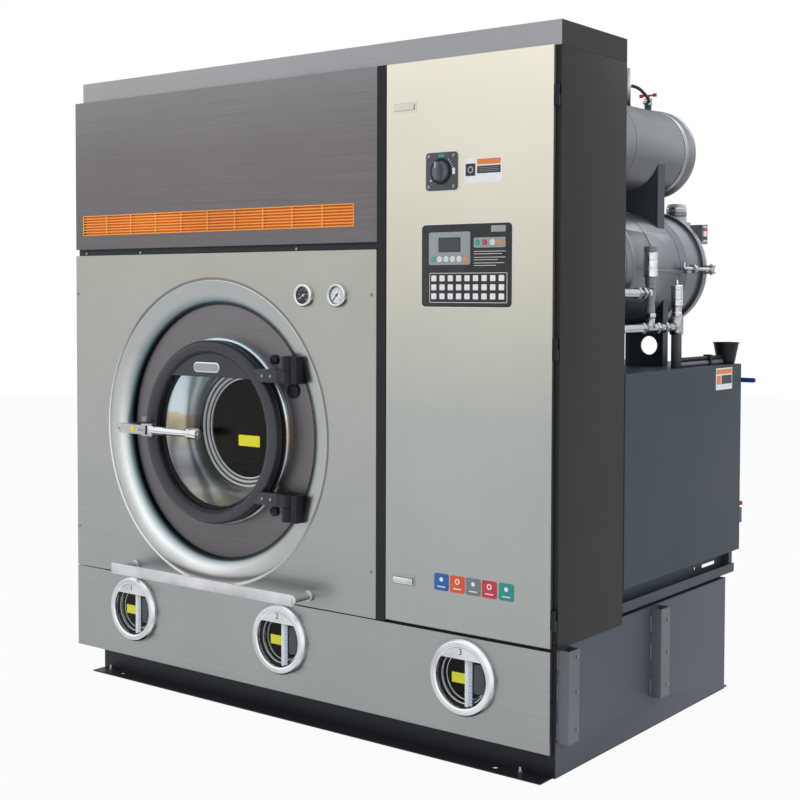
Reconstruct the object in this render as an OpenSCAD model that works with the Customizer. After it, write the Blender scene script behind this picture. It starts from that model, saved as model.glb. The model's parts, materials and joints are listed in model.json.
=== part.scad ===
// Dry cleaning machine: a front-loading drum bay, an electrical cabinet beside it,
// a base with three solvent tanks, and a still with its condenser on a rear housing.
// Machine frame: x from the drum bay's left edge, y back from the front panels, z up from the floor.
// The model's origin is the centre of the base's underside.

/* [Overall] */
// Width of the drum bay's front panels
bay_w = 1395; // [1300:1:1700]
// Width of the black strip between the drum bay and the cabinet door
strip_w = 39; // [30:1:60]
// Width of the cabinet door
cab_door_w = 580; // [480:1:700]
// Depth of the drum bay's casing and of the cabinet, from the front panels
body_d = 386; // [320:1:465]
// Height of the door panel that surrounds the loading door
door_panel_h = 1123; // [1090:1:1350]
// Height of the upper panel with the air grille
lint_panel_h = 526; // [435:1:640]
// Height of the top cap
cap_h = 69; // [40:1:90]

/* [Base] */
// Left end of the chassis, measured from the bay's left edge
base_x0 = 128; // [100:1:180]
// Depth of the base
base_d = 1128; // [1090:1:1360]
// Height of the base's walls
base_h = 381; // [360:1:460]
// Lower edge of the tank panel
tank_panel_z0 = 67; // [40:1:80]
// Gap between one front panel and the next above it
panel_gap = 3; // [2:1:8]
// Thickness of the chassis sheet
wall_t = 3; // [2:0.5:5]
// Thickness of the front skins
skin_t = 2; // [1.5:0.5:3]
// Depth of a front panel's folded edge
skin_d = 15; // [10:1:20]
// Depth of the foot flange in front of the base
toe_d = 65; // [60:1:110]
// Thickness of the foot flange
toe_t = 4; // [3:1:10]
// Radius of an anchor bolt hole
anchor_r = 9; // [6:0.5:12]

/* [Sight glasses] */
// Outer radius of a sight glass ring
sight_r = 113.5; // [100:0.5:118]
// Clear radius inside a sight glass ring
sight_clear_r = 88; // [70:1:92]
// How far a sight glass ring stands proud
sight_proud = 20; // [12:1:30]

/* [Drum] */
// Place of the drum axis from the bay's left edge
drum_x = 691; // [660:1:750]
// Outer radius of the drum housing
housing_r = 500; // [480:1:505]
// Depth at which the drum housing ends
housing_d = 600; // [560:1:720]
// Radius of the drum
drum_r = 470; // [440:1:475]
// Height of a drum rib
rib_h = 80; // [40:1:100]
// Radius of the drum shaft
shaft_r = 35; // [25:1:45]
// Radius of the drum pulley
pulley_r = 230; // [180:1:280]
// Radius of the motor pulley
motor_pulley_r = 50; // [40:1:70]
// Width of the drive belt
belt_w = 24; // [16:1:34]
// Height of the deck rails that carry the rear casing
rail_h = 84; // [70:1:110]

/* [Loading door] */
// Radius of the pressed bend around the dark front plate
dish_r = 508; // [500:1:520]
// Radius of the dark front plate that shows
disc_r = 424; // [400:1:440]
// How far the front plate lies behind the door panel
disc_y = 47; // [35:1:60]
// Radius of the door ring's round bar, measured to its centre line
ring_r = 284; // [275:1:300]
// Half the width of the ring bar
ring_half = 23; // [18:1:28]
// Clear radius of the chrome loading neck at its front
neck_r = 257; // [240:1:259]
// Outer radius of the chrome seat ring
seat_r = 315; // [310:1:330]
// Clear radius of the drum mouth
mouth_r = 169; // [150:1:200]
// Depth at which the neck ends
neck_d = 171; // [150:1:172]
// Distance from the drum axis to the door hinge pin
hinge_dx = 354; // [348:1:370]
// Height of each hinge arm above or below the drum axis
hinge_dz = 198; // [170:1:215]
// Radius of a door hinge pin
hinge_pin_r = 8; // [6:0.5:12]
// Length of the handle lever from its pivot to its end boss
lever_l = 228; // [180:1:240]

/* [Cabinet] */
// Radius of the main switch shaft
switch_shaft_r = 6; // [4:0.5:8]
// Radius of the cabinet door's hinge pins
cab_pin_r = 3; // [2:0.5:4]
// Height of a cabinet door hinge
cab_hinge_h = 58; // [40:1:80]

/* [Rear unit] */
// Gap between the drum housing and the rear casing
rear_gap = 9; // [5:1:60]
// Depth at which the rear casing ends
rear_d = 1225; // [1190:1:1400]
// Height of the rear casing
rear_h = 645; // [560:1:700]
// Distance of the vessels' axis from the base's right side
vessel_inset = 274; // [250:1:320]
// Radius of the still
still_r = 190; // [165:1:200]
// Height of the still's axis above the rear casing
still_lift = 323; // [280:1:380]
// Radius of the condenser
tank_r = 146; // [125:1:170]
// Height of the condenser's axis above the still's axis
vessel_pitch = 400; // [380:1:440]
// Depth at which the vessels' shells end
vessel_y1 = 1085; // [1050:1:1100]

/* [Hidden] */
$fn = 64;

// clearances
run_fit = 0.05;      // radial clearance of a pin or shaft in its bore
seat_gap = 0.3;      // gap between a curved piece and its seat
slip_gap = 1;        // gap around a piece that passes through a sheet

// overall places that follow from the sizes above
base_x1 = bay_w + strip_w + cab_door_w + 10;
cab_x0 = bay_w + 1;
cab_x1 = base_x1 + 6;
door_x0 = bay_w + strip_w;
door_x1 = door_x0 + cab_door_w;
front_wall_y = skin_d;
tank_panel_z1 = base_h - 24;
door_panel_z0 = tank_panel_z1 + panel_gap;
door_panel_z1 = door_panel_z0 + door_panel_h;
lint_z0 = door_panel_z1 + 22;
lint_z1 = lint_z0 + lint_panel_h;
machine_h = lint_z1 + cap_h;
deck_z = base_h + wall_t;
origin_x = (base_x0 + base_x1) / 2;
origin_y = (front_wall_y + base_d) / 2;

// drum places
drum_z = deck_z + housing_r + 3;
housing_y0 = disc_y + wall_t;
drum_y0 = neck_d + 7;
drum_y1 = housing_d - 25;
shaft_y1 = housing_d + 150;
pulley_y0 = housing_d + 100;
pulley_w = belt_w + 18;
belt_t = 8;
motor_x = drum_x - 361;
motor_z = deck_z + 146;
motor_r = 95;
motor_y0 = pulley_y0 + pulley_w + 8;
motor_l = 300;
motor_shaft_r = 14;

// loading door places
glass_t = 8;
glass_y0 = 5;
ring_y0 = -26;
ring_y1 = 22;
seat_y = 32;
hinge_x = drum_x + hinge_dx;
hinge_y = -5;
arm_h = 42;
knuckle_r = 21;
arm_x1 = hinge_x - 40;
lever_y = ring_y0 - 36;
lever_z = drum_z - 3;
lever_pivot_x = drum_x + 3 - lever_l;

// cabinet places
cab_z0 = door_panel_z0 + 4;
cab_z1 = lint_z1;
cab_pin_x = door_x1 + 8;
cab_pin_y = 5;
panel_x0 = door_x0 + 134;
panel_x1 = panel_x0 + 314;
panel_z0 = door_panel_z1 - 171;
panel_z1 = panel_z0 + 238;
panel_t = 3;
switch_x = door_x0 + 204;
switch_z = lint_z0 + 199;

// rear unit places
rear_x0 = drum_x + housing_r + rear_gap;
rear_x1 = base_x1 + 7;
rear_y0 = body_d + 4;
rear_z0 = deck_z + rail_h;
rear_z1 = rear_z0 + rear_h;
vessel_x = base_x1 - vessel_inset;
still_z = rear_z1 + still_lift;
tank_z = still_z + vessel_pitch;
tank_y0 = body_d + 9;
rim_t = 20;
still_rim_r = still_r + 10;
tank_rim_r = tank_r + 5;
still_y0 = tank_y0 + 5;
still_hinge_x = vessel_x - still_rim_r - 16;
still_hinge_y = vessel_y1 + rim_t + 14;
pipe_x = rear_x1 - 44;
pipe_r = 13;
pipe_z = rear_z1 + 132;
bracket_y = vessel_y1 - 215;

// places a piece drawn in the machine frame about the model's origin
module at_origin() translate([-origin_x, -origin_y, 0]) children();

// box between two corners
module block(lo, hi) translate(lo) cube(hi - lo);

// turns a piece drawn along +Z so that it runs along +Y from a point
module along_y(p) translate(p) rotate([-90, 0, 0]) children();

// turns a piece drawn along +Z so that it runs along +X from a point
module along_x(p) translate(p) rotate([0, 90, 0]) children();

// round bar or disc along +Y
module disc_y(p, r, len) along_y(p) cylinder(r = r, h = len);

// pipe or ring along +Y
module pipe_y(p, r_out, r_in, len)
    along_y(p) difference() {
        cylinder(r = r_out, h = len);
        translate([0, 0, -1]) cylinder(r = r_in, h = len + 2);
    }

// pipe or ring along +Z
module pipe_z(p, r_out, r_in, len)
    translate(p) difference() {
        cylinder(r = r_out, h = len);
        translate([0, 0, -1]) cylinder(r = r_in, h = len + 2);
    }

// plate in the front plane with rounded corners, running back from y
module round_plate(x0, x1, z0, z1, y, t, r)
    translate([0, y + t, 0]) rotate([90, 0, 0]) linear_extrude(t)
        union() {
            translate([x0 + r, z0]) square([x1 - x0 - 2 * r, z1 - z0]);
            translate([x0, z0 + r]) square([x1 - x0, z1 - z0 - 2 * r]);
            for (x = [x0 + r, x1 - r], z = [z0 + r, z1 - r]) translate([x, z]) circle(r, $fn = 24);
        }

// front panel with folded edges: a skin, and a return around it
module folded_panel(x0, x1, z0, z1, depth)
    difference() {
        block([x0, 0, z0], [x1, depth, z1]);
        block([x0 + skin_t, skin_t, z0 + skin_t], [x1 - skin_t, depth + 1, z1 - skin_t]);
    }

// ---- base ----

sight_xs = [drum_x - 381, drum_x + 313, drum_x + 1032];
sight_z = tank_panel_z0 + 172;
sight_tube_r = sight_clear_r + 7;
window_r = sight_tube_r + slip_gap;
tank_gap = 10;
tank_y = front_wall_y + wall_t + 6;
anchor_xs = [base_x0 + 130, base_x1 - 180];
anchor_ys = [-14, base_d + 16];

module base_frame() color("#1d1e22") at_origin() difference() {
    union() {
        block([base_x0, front_wall_y, 0], [base_x1, base_d, wall_t]);
        block([base_x0, front_wall_y, wall_t], [base_x1, front_wall_y + wall_t, base_h]);
        block([base_x0 + 14, front_wall_y - toe_d, 0], [base_x1 - 8, front_wall_y, toe_t]);
        block([base_x0, base_d, 0], [base_x1 - 4, base_d + 30, toe_t]);
    }
    for (x = sight_xs) disc_y([x, front_wall_y - 1, sight_z], window_r, wall_t + 2);
    for (x = anchor_xs, y = anchor_ys) translate([x, y, -1]) cylinder(r = anchor_r, h = toe_t + 2);
}

// bracket standing off the right wall: a leg, an outer face and an inner leg
strap_out = 38;
strap_w = 58;
strap_z0 = 100;
weld_r = 4;
module wall_strap(y, z1) {
    block([base_x1, y, strap_z0], [base_x1 + strap_out, y + wall_t, z1]);
    block([base_x1 + strap_out - wall_t, y + wall_t, strap_z0], [base_x1 + strap_out, y + strap_w, z1]);
    block([base_x1, y + strap_w - wall_t, strap_z0],
          [base_x1 + strap_out - wall_t, y + strap_w, z1]);
    // stitch welds along the front leg
    for (z = [8, 120, 205]) translate([base_x1 + 1, y, strap_z0 + z]) cylinder(r = weld_r, h = 50, $fn = 24);
}
strap_ys = [front_wall_y + wall_t + 5, 578];
strap_z1s = [cab_z0 - 3, base_h - 3];

module base_walls() color("#525860") at_origin() {
    y0 = front_wall_y + wall_t;
    flange = 25;
    block([base_x1 - wall_t, y0, wall_t], [base_x1, base_d, base_h]);
    block([base_x0, y0, wall_t], [base_x0 + wall_t, base_d, base_h]);
    block([base_x0 + wall_t, base_d - wall_t, wall_t], [base_x1 - wall_t, base_d, base_h]);
    block([base_x1 - flange, y0, base_h - wall_t], [base_x1 - wall_t, base_d - wall_t, base_h]);
    block([base_x0 + wall_t, y0, base_h - wall_t], [base_x0 + flange, base_d - wall_t, base_h]);
    for (i = [0, 1]) wall_strap(strap_ys[i], strap_z1s[i]);
}

// solvent tanks side by side, each with a window behind its sight glass
tank_edges = [
    base_x0 + 10,
    (sight_xs[0] + sight_xs[1]) / 2,
    (sight_xs[1] + sight_xs[2]) / 2,
    base_x1 - 40
];
tank_z1 = base_h - 14;
module solvent_tanks() color("#8a8d90") at_origin()
    for (i = [0, 1, 2]) {
        x0 = tank_edges[i] + tank_gap / 2;
        x1 = tank_edges[i + 1] - tank_gap / 2;
        y1 = base_d - 20;
        difference() {
            block([x0, tank_y, wall_t], [x1, y1, tank_z1]);
            block([x0 + wall_t, tank_y + wall_t, 2 * wall_t], [x1 - wall_t, y1 - wall_t, tank_z1 - wall_t]);
            disc_y([sight_xs[i], tank_y - 1, sight_z], window_r, wall_t + 2);
        }
    }

module tank_front_panel() color("#a4a7a2") at_origin() difference() {
    folded_panel(0, door_x1, tank_panel_z0, tank_panel_z1, front_wall_y);
    for (x = sight_xs) disc_y([x, -1, sight_z], window_r, skin_t + 2);
}

// chord across the upper part of a sight glass ring
chord_dz = 55;
module sight_glass_rings() color("#c9ccd0") at_origin()
    for (x = sight_xs) translate([x, 0, sight_z]) {
        rotate([-90, 0, 0]) rotate_extrude($fn = 96) polygon([
            [sight_clear_r, -sight_proud + 3], [sight_clear_r + 4, -sight_proud],
            [sight_r - 7, -sight_proud], [sight_r, -sight_proud + 9], [sight_r, 0],
            [sight_tube_r, 0], [sight_tube_r, tank_y + wall_t + 2],
            [sight_clear_r, tank_y + wall_t + 2]
        ]);
        intersection() {
            disc_y([0, -sight_proud + 3, 0], sight_clear_r + 1, 3);
            block([-sight_r, -sight_proud, chord_dz], [sight_r, 0, sight_r]);
        }
    }

sight_glass_y = -sight_proud + 8;
sight_glass_t = 6;
module sight_glasses() color("#dfeaf0", 0.35) at_origin()
    for (x = sight_xs) disc_y([x, sight_glass_y, sight_z], sight_clear_r - seat_gap, sight_glass_t);

// printed scale and a plain tag on the inner side of each glass
scale_w = 26;
scale_x = 8;
tag_w = 46;
tag_h = 30;
module level_scales() color("#eceff2") at_origin()
    for (x = sight_xs) translate([x, sight_glass_y + sight_glass_t, sight_z]) {
        intersection() {
            block([scale_x, 0, -sight_r], [scale_x + scale_w, 2, sight_r]);
            disc_y([0, -1, 0], sight_clear_r - seat_gap, 5);
        }
        block([scale_x - tag_w, 0, -18], [scale_x, 1, tag_h - 18]);
    }

// hexagon bolt head standing on a surface
module bolt_head(r, h) cylinder(r = r, h = h, $fn = 6);

module panel_bolts() color("#8d9094") at_origin() {
    // studs with nuts on the foot flange
    for (x = [base_x0 + 63, base_x1 - 98]) translate([x, front_wall_y - 26, toe_t]) {
        bolt_head(8, 7);
        cylinder(r = 4, h = 18);
    }
    // bolts on the wall straps
    for (i = [0, 1], z = [strap_z0 + 35, strap_z0 + 138, strap_z0 + 240])
        along_x([base_x1 + strap_out, strap_ys[i] + strap_w - 14, z]) bolt_head(5, 3);
    // screws of the door panel
    for (x = [9, bay_w - 19], z = [142, door_panel_h - 137])
        disc_y([x, -2, door_panel_z0 + z], 5, 2);
    // screws in the dark gap above the door panel
    for (x = [43, 330, 1060]) disc_y([x, skin_d - 3, shelf_z - 3], 5, 3);
    // bolts on the dark front plate, beside the hinge blocks, and its round cover
    for (s = [-1, 1]) disc_y([hinge_x - 108, disc_y - 9, drum_z + s * 248], 16, 9);
    disc_y([hinge_x - 27, disc_y - 6, drum_z + 150], 25, 6);
}

// ---- deck between the base and the rear unit ----

rail_x = base_x1 - 34;
rail_y1 = rear_d - 37;
rail_lip_z = deck_z + 12;
lip_h = 30;
module deck_frame() color("#4a525a") at_origin() difference() {
    union() {
        block([base_x0, front_wall_y, base_h], [base_x1, base_d, deck_z]);
        for (x = [base_x0 + 12, rail_x]) {
            // web, foot and lip of each rail
            block([x, rear_y0, deck_z], [x + wall_t, rail_y1, rear_z0]);
        }
        block([rail_x + wall_t, rear_y0, rail_lip_z], [base_x1 + 4, rail_y1, rail_lip_z + wall_t]);
        block([base_x1 + 1, rear_y0, rail_lip_z + wall_t], [base_x1 + 4, rail_y1, rail_lip_z + lip_h]);
        block([base_x0, housing_d + 20, rail_lip_z], [base_x0 + 12, rail_y1, rail_lip_z + lip_h]);
        // rear posts and cross bearers under the rear casing
        block([rail_x + wall_t, rail_y1 - 25, rail_lip_z + wall_t], [base_x1 - 4, rail_y1, rear_z0]);
        block([base_x0 + 15, rail_y1 - 25, rear_z0 - 40], [rear_x0 + 300, rail_y1, rear_z0]);
        block([rear_x0, rear_y0 + 240, deck_z], [rail_x, rear_y0 + 280, rear_z0]);
    }
    // slot and hole in the right rail's web
    block([rail_x - 1, rail_y1 - 180, rail_lip_z + 34], [rail_x + wall_t + 1, rail_y1 - 78, rail_lip_z + 46]);
    along_x([rail_x - 1, rail_y1 - 234, rail_lip_z + 42]) cylinder(r = 6, h = wall_t + 2);
}

// ---- drum bay ----

fan_x = drum_x + 230;
fan_z = (lint_z0 + lint_z1) / 2;
shelf_z = lint_z0 - 12;
module body_shell() color("#34363a") at_origin() difference() {
    union() {
        block([0, skin_d, cab_z0], [skin_t, body_d, lint_z1]);
        block([skin_t, skin_d, cab_z0], [base_x0 - 4, body_d, cab_z0 + skin_t]);
        block([skin_t, skin_d, lint_z1 - skin_t], [bay_w, body_d, lint_z1]);
        block([skin_t, skin_d, shelf_z], [bay_w, body_d, shelf_z + skin_t]);
        block([skin_t, body_d - skin_t, shelf_z + skin_t], [bay_w, body_d, lint_z1 - skin_t]);
        // front flanges that carry the panels
        block([skin_t, skin_d, cab_z0 + skin_t], [22, skin_d + skin_t, shelf_z]);
        block([skin_t, skin_d, shelf_z + skin_t], [22, skin_d + skin_t, lint_z1 - skin_t]);
        block([bay_w - 22, skin_d, deck_z], [bay_w, skin_d + skin_t, shelf_z]);
        block([22, skin_d, shelf_z - 14], [bay_w - 22, skin_d + skin_t, shelf_z]);
        // rail behind the folded lower edge of the upper panel
        block([22, skin_d, shelf_z + skin_t], [bay_w, skin_d + skin_t, shelf_z + 30]);
    }
    disc_y([fan_x, body_d - skin_t - 1, fan_z], 20, skin_t + 2);
}

// profile of the pressed rim: a quarter ellipse from the bend back to the front plate
rim_steps = 12;
function rim_point(t, off) = [
    dish_r - (dish_r - disc_r - off) * sin(t),
    off + (disc_y - off) * (1 - cos(t))
];
module door_panel() color("#a8aba6") at_origin() {
    difference() {
        folded_panel(0, bay_w, door_panel_z0, door_panel_z1, skin_d);
        disc_y([drum_x, -1, drum_z], dish_r, skin_d + 2);
        // sockets of the two gauges
        for (x = gauge_xs) disc_y([x, -1, gauge_z], gauge_case_r + slip_gap, skin_t + 2);
    }
    along_y([drum_x, 0, drum_z]) rotate_extrude($fn = 144) polygon(concat(
        [for (i = [0:rim_steps]) rim_point(90 * i / rim_steps, 0)],
        [for (i = [rim_steps:-1:0]) rim_point(90 * i / rim_steps, skin_t)]
    ));
}

module front_plate() color("#625e61") at_origin() difference() {
    disc_y([drum_x, disc_y, drum_z], housing_r, wall_t, $fn = 144);
    disc_y([drum_x, disc_y - 1, drum_z], neck_r + 6, wall_t + 2, $fn = 96);
}

module drum_housing() color("#9a9ea2") at_origin() {
    len = housing_d - housing_y0;
    difference() {
        union() {
            disc_y([drum_x, housing_y0, drum_z], housing_r, len, $fn = 144);
            // feet that stand on the deck
            for (y = [housing_y0 + 40, housing_d - 100])
                block([drum_x - 260, y, deck_z], [drum_x + 260, y + 60, drum_z - housing_r + 60]);
        }
        disc_y([drum_x, housing_y0 - 1, drum_z], housing_r - wall_t, len - wall_t + 1, $fn = 144);
        disc_y([drum_x, housing_d - wall_t - 1, drum_z], shaft_r + 4, wall_t + 2);
    }
}

// seat ring, polished bell and stepped mouth in one turned shape
neck_t = 2.5;
cone_y = neck_d - 6;
bell_steps = 6;
bell_drop = neck_r - mouth_r - 31;
bell_l = cone_y - 13 - seat_y;
function bell_point(t, off) = [neck_r + off - bell_drop * sin(90 * t), seat_y + 3 + bell_l * t];
module loading_neck() color("#d8dade") at_origin()
    along_y([drum_x, 0, drum_z]) rotate_extrude($fn = 144) polygon(concat(
        [[neck_r + 3, seat_y], [seat_r - 6, seat_y], [seat_r, seat_y + 5], [seat_r, disc_y],
         [neck_r + neck_t + 2, disc_y]],
        [for (i = [1:bell_steps]) bell_point(i / bell_steps, neck_t)],
        [[mouth_r + 31 + neck_t, neck_d], [mouth_r, neck_d], [mouth_r, cone_y + 2],
         [mouth_r + 14, cone_y + 2], [mouth_r + 14, cone_y - 4], [mouth_r + 30, cone_y - 4],
         [mouth_r + 30, cone_y - 10]],
        [for (i = [bell_steps:-1:0]) bell_point(i / bell_steps, 0)]
    ));

// drum of perforated sheet with three lifting ribs and a flange for its shaft
drum_mouth_r = mouth_r + 5;
module drum() color("#7d7f82") at_origin() {
    len = drum_y1 - drum_y0;
    difference() {
        disc_y([drum_x, drum_y0, drum_z], drum_r, len, $fn = 144);
        disc_y([drum_x, drum_y0 + wall_t, drum_z], drum_r - wall_t, len - 2 * wall_t, $fn = 144);
        disc_y([drum_x, drum_y0 - 1, drum_z], drum_mouth_r, wall_t + 2, $fn = 96);
    }
    for (a = [90, 210, 330]) translate([drum_x, drum_y0 + wall_t, drum_z]) rotate([0, -a, 0])
        rotate([-90, 0, 0]) linear_extrude(len - 2 * wall_t) polygon([
            [drum_r - wall_t - 5, -55], [drum_r - rib_h, -14],
            [drum_r - rib_h, 14], [drum_r - wall_t - 5, 55]
        ]);
}

shaft_flange_t = 12;
module drum_shaft() color("#b4b8bc") at_origin() {
    disc_y([drum_x, drum_y1, drum_z], 110, shaft_flange_t);
    disc_y([drum_x, drum_y1 + shaft_flange_t, drum_z], shaft_r, shaft_y1 - drum_y1 - shaft_flange_t);
}

pedestal_l = 78;
module bearing_pedestal() color("#3c4045") at_origin() difference() {
    union() {
        translate([0, housing_d + pedestal_l, 0]) rotate([90, 0, 0]) linear_extrude(pedestal_l)
            difference() {
                union() {
                    polygon([[drum_x - 210, deck_z], [drum_x + 210, deck_z],
                             [drum_x + 75, drum_z], [drum_x - 75, drum_z]]);
                    translate([drum_x, drum_z]) circle(r = 75);
                }
                polygon([[drum_x - 140, deck_z + 30], [drum_x + 140, deck_z + 30],
                         [drum_x + 60, drum_z - 110], [drum_x - 60, drum_z - 110]]);
            }
        disc_y([drum_x, housing_d, drum_z], 150, 14);
    }
    disc_y([drum_x, housing_d - 1, drum_z], shaft_r + run_fit, pedestal_l + 2);
}

// grooved wheel along +Y with round lightening holes
module wheel(p, r, bore, holes)
    difference() {
        along_y(p) rotate_extrude($fn = 96) polygon([
            [bore, 0], [r + 8, 0], [r + 8, 5], [r, 8], [r, pulley_w - 8],
            [r + 8, pulley_w - 5], [r + 8, pulley_w], [bore, pulley_w]
        ]);
        for (k = [0:1:holes - 1])
            disc_y([p[0] + 0.58 * r * cos(k * 360 / holes), p[1] - 1, p[2] + 0.58 * r * sin(k * 360 / holes)],
                   0.22 * r, pulley_w + 2);
    }

module drum_pulley() color("#2c2e31") at_origin()
    wheel([drum_x, pulley_y0, drum_z], pulley_r, shaft_r + run_fit, 6);

module motor_pulley() color("#44484d") at_origin() {
    wheel([motor_x, pulley_y0, motor_z], motor_pulley_r, motor_shaft_r, 0);
    disc_y([motor_x, pulley_y0, motor_z], motor_shaft_r, pulley_w + 38);
}

// flat belt around both pulleys
module belt_outline(off) hull() {
    translate([drum_x, drum_z]) circle(pulley_r + off, $fn = 96);
    translate([motor_x, motor_z]) circle(motor_pulley_r + off, $fn = 48);
}
module drive_belt() color("#17181a") at_origin()
    translate([0, pulley_y0 + (pulley_w + belt_w) / 2, 0]) rotate([90, 0, 0]) linear_extrude(belt_w)
        difference() {
            belt_outline(belt_t);
            belt_outline(2 * seat_gap);
        }

module drive_motor() color("#2f4a66") at_origin() difference() {
    union() {
        disc_y([motor_x, motor_y0, motor_z], motor_r, motor_l);
        for (k = [0:1:11])
            disc_y([motor_x, motor_y0 + 30 + 18 * k, motor_z], motor_r + 5, 6);
        block([motor_x - 70, motor_y0 + 40, deck_z], [motor_x + 70, motor_y0 + 90, motor_z]);
        block([motor_x - 70, motor_y0 + 190, deck_z], [motor_x + 70, motor_y0 + 240, motor_z]);
        block([motor_x - 55, motor_y0 + 80, motor_z], [motor_x + 55, motor_y0 + 190, motor_z + motor_r + 45]);
    }
    disc_y([motor_x, motor_y0 - 1, motor_z], motor_shaft_r + run_fit, 40);
}

// ---- loading door ----

door_chord_dz = 184;
module door_ring() color("#65686d") at_origin() difference() {
    union() {
        // ring bar of rounded section
        along_y([drum_x, 0, drum_z]) rotate_extrude($fn = 144) polygon([
            [ring_r - ring_half, ring_y0 + 17], [ring_r - ring_half + 6, ring_y0 + 7],
            [ring_r - 9, ring_y0], [ring_r + 9, ring_y0],
            [ring_r + ring_half - 6, ring_y0 + 7], [ring_r + ring_half, ring_y0 + 17],
            [ring_r + ring_half, ring_y1 - 8], [ring_r + ring_half - 8, ring_y1],
            [ring_r - ring_half, ring_y1]
        ]);
        // chord plate that covers the top of the glass
        intersection() {
            disc_y([drum_x, -8, drum_z], ring_r - 5, 8, $fn = 96);
            block([drum_x - ring_r, -9, drum_z + door_chord_dz], [drum_x + ring_r, 1, drum_z + ring_r]);
        }
        // two hinge arms
        for (s = [-1, 1]) translate([0, 0, drum_z + s * hinge_dz - arm_h / 2])
            block([drum_x + 0.72 * ring_r, hinge_y - 16, 0], [arm_x1, hinge_y + 16, arm_h]);
    }
    // clear the glass seat, so that the arms stay outside it
    disc_y([drum_x, 0, drum_z], ring_r - ring_half, ring_y1 + 1, $fn = 144);
    along_y([drum_x, ring_y0 - 1, drum_z]) intersection() {
        cylinder(r = ring_r - ring_half, h = -ring_y0 + 1, $fn = 144);
        translate([-ring_r, -door_chord_dz, 0]) cube([2 * ring_r, 2 * ring_r, 60]);
    }
}

module door_glass() color("#cfd8dc", 0.3) at_origin()
    disc_y([drum_x, glass_y0, drum_z], ring_r - ring_half - seat_gap, glass_t, $fn = 144);

// black end pieces of the two arms, bored for the pins
module hinge_knuckles() color("#141518") at_origin()
    for (s = [-1, 1]) translate([0, 0, drum_z + s * hinge_dz - arm_h / 2]) difference() {
        union() {
            block([arm_x1, hinge_y - 16, 0], [hinge_x, hinge_y + 16, arm_h]);
            translate([hinge_x, hinge_y, 0]) cylinder(r = knuckle_r, h = arm_h);
        }
        translate([hinge_x, hinge_y, -1]) cylinder(r = hinge_pin_r + run_fit, h = arm_h + 2);
    }

// rubber ring between the door ring and the chrome seat, with a lip behind the glass
module door_seal() color("#121314") at_origin() {
    pipe_y([drum_x, ring_y1, drum_z], ring_r + ring_half - 1, neck_r + 5, seat_y - ring_y1 - seat_gap,
           $fn = 144);
    pipe_y([drum_x, glass_y0 + glass_t, drum_z], ring_r - ring_half - seat_gap, neck_r - 6,
           ring_y1 - glass_y0 - glass_t, $fn = 144);
    pipe_y([drum_x, ring_y1, drum_z], neck_r + 5, neck_r - 6, 6, $fn = 144);
}

// block at the ring's left that carries the handle's pivot
pivot_r = 6;
fork_t = 5;
block_h = 31;
hub_r = 15;
bracket_x0 = drum_x - 388;
bracket_x1 = lever_pivot_x - hub_r - 2;
module handle_bracket() color("#b9bcc0") at_origin() difference() {
    union() {
        // post between the ring and the block
        block([drum_x - ring_r - 8, lever_y + 15, lever_z - 18], [drum_x - ring_r + 8, ring_y0, lever_z + 12]);
        // block, and an upper and a lower fork plate that hold the lever
        block([bracket_x0, lever_y - 15, lever_z - block_h / 2], [bracket_x1, lever_y + 15, lever_z + block_h / 2]);
        for (z = [lever_z - block_h / 2 - fork_t, lever_z + block_h / 2])
            block([bracket_x1 - 24, lever_y - 10, z], [lever_pivot_x + 10, lever_y + 10, z + fork_t]);
    }
    translate([lever_pivot_x, lever_y, lever_z - 60]) cylinder(r = pivot_r + run_fit, h = 120);
}

// round lever with a hub at its pivot and a collar at its free end
lever_r = 13;
collar_r = 19;
collar_l = 55;
module door_handle() color("#dfe2e6") at_origin() {
    pin_h = block_h + 2 * fork_t + 4;
    hub_h = block_h - 2 * seat_gap;
    translate([lever_pivot_x, lever_y, lever_z - pin_h / 2]) cylinder(r = pivot_r, h = pin_h);
    translate([lever_pivot_x, lever_y, lever_z - hub_h / 2]) cylinder(r = hub_r, h = hub_h);
    along_x([lever_pivot_x, lever_y, lever_z]) {
        cylinder(r = lever_r + 2, h = 60);
        cylinder(r = lever_r, h = lever_l - collar_l);
        translate([0, 0, lever_l - collar_l]) cylinder(r1 = lever_r, r2 = collar_r, h = 12);
        translate([0, 0, lever_l - collar_l + 12]) cylinder(r = collar_r, h = collar_l - 12);
        translate([0, 0, lever_l]) cylinder(r = 7, h = 3);
    }
}

// striker on the front plate behind the handle block
module door_keeper() color("#9ba0a5") at_origin() {
    x0 = bracket_x0 + 12;
    y1 = lever_y + 15 + seat_gap;
    block([x0 - 14, disc_y - 6, lever_z - 32], [x0 + 44, disc_y, lever_z + 32]);
    block([x0, y1, lever_z - 14], [x0 + 30, disc_y - 6, lever_z + 14]);
}

// space inside the pressed rim, kept a little clear of it
module inside_rim() along_y([drum_x, 0, drum_z]) rotate_extrude($fn = 144) polygon(concat(
    [[0, -80], [dish_r, -80]],
    [for (i = [1:rim_steps]) rim_point(90 * i / rim_steps, 0) - [2 * seat_gap, 2 * seat_gap]],
    [[disc_r - 1, disc_y], [0, disc_y]]
));

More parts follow.
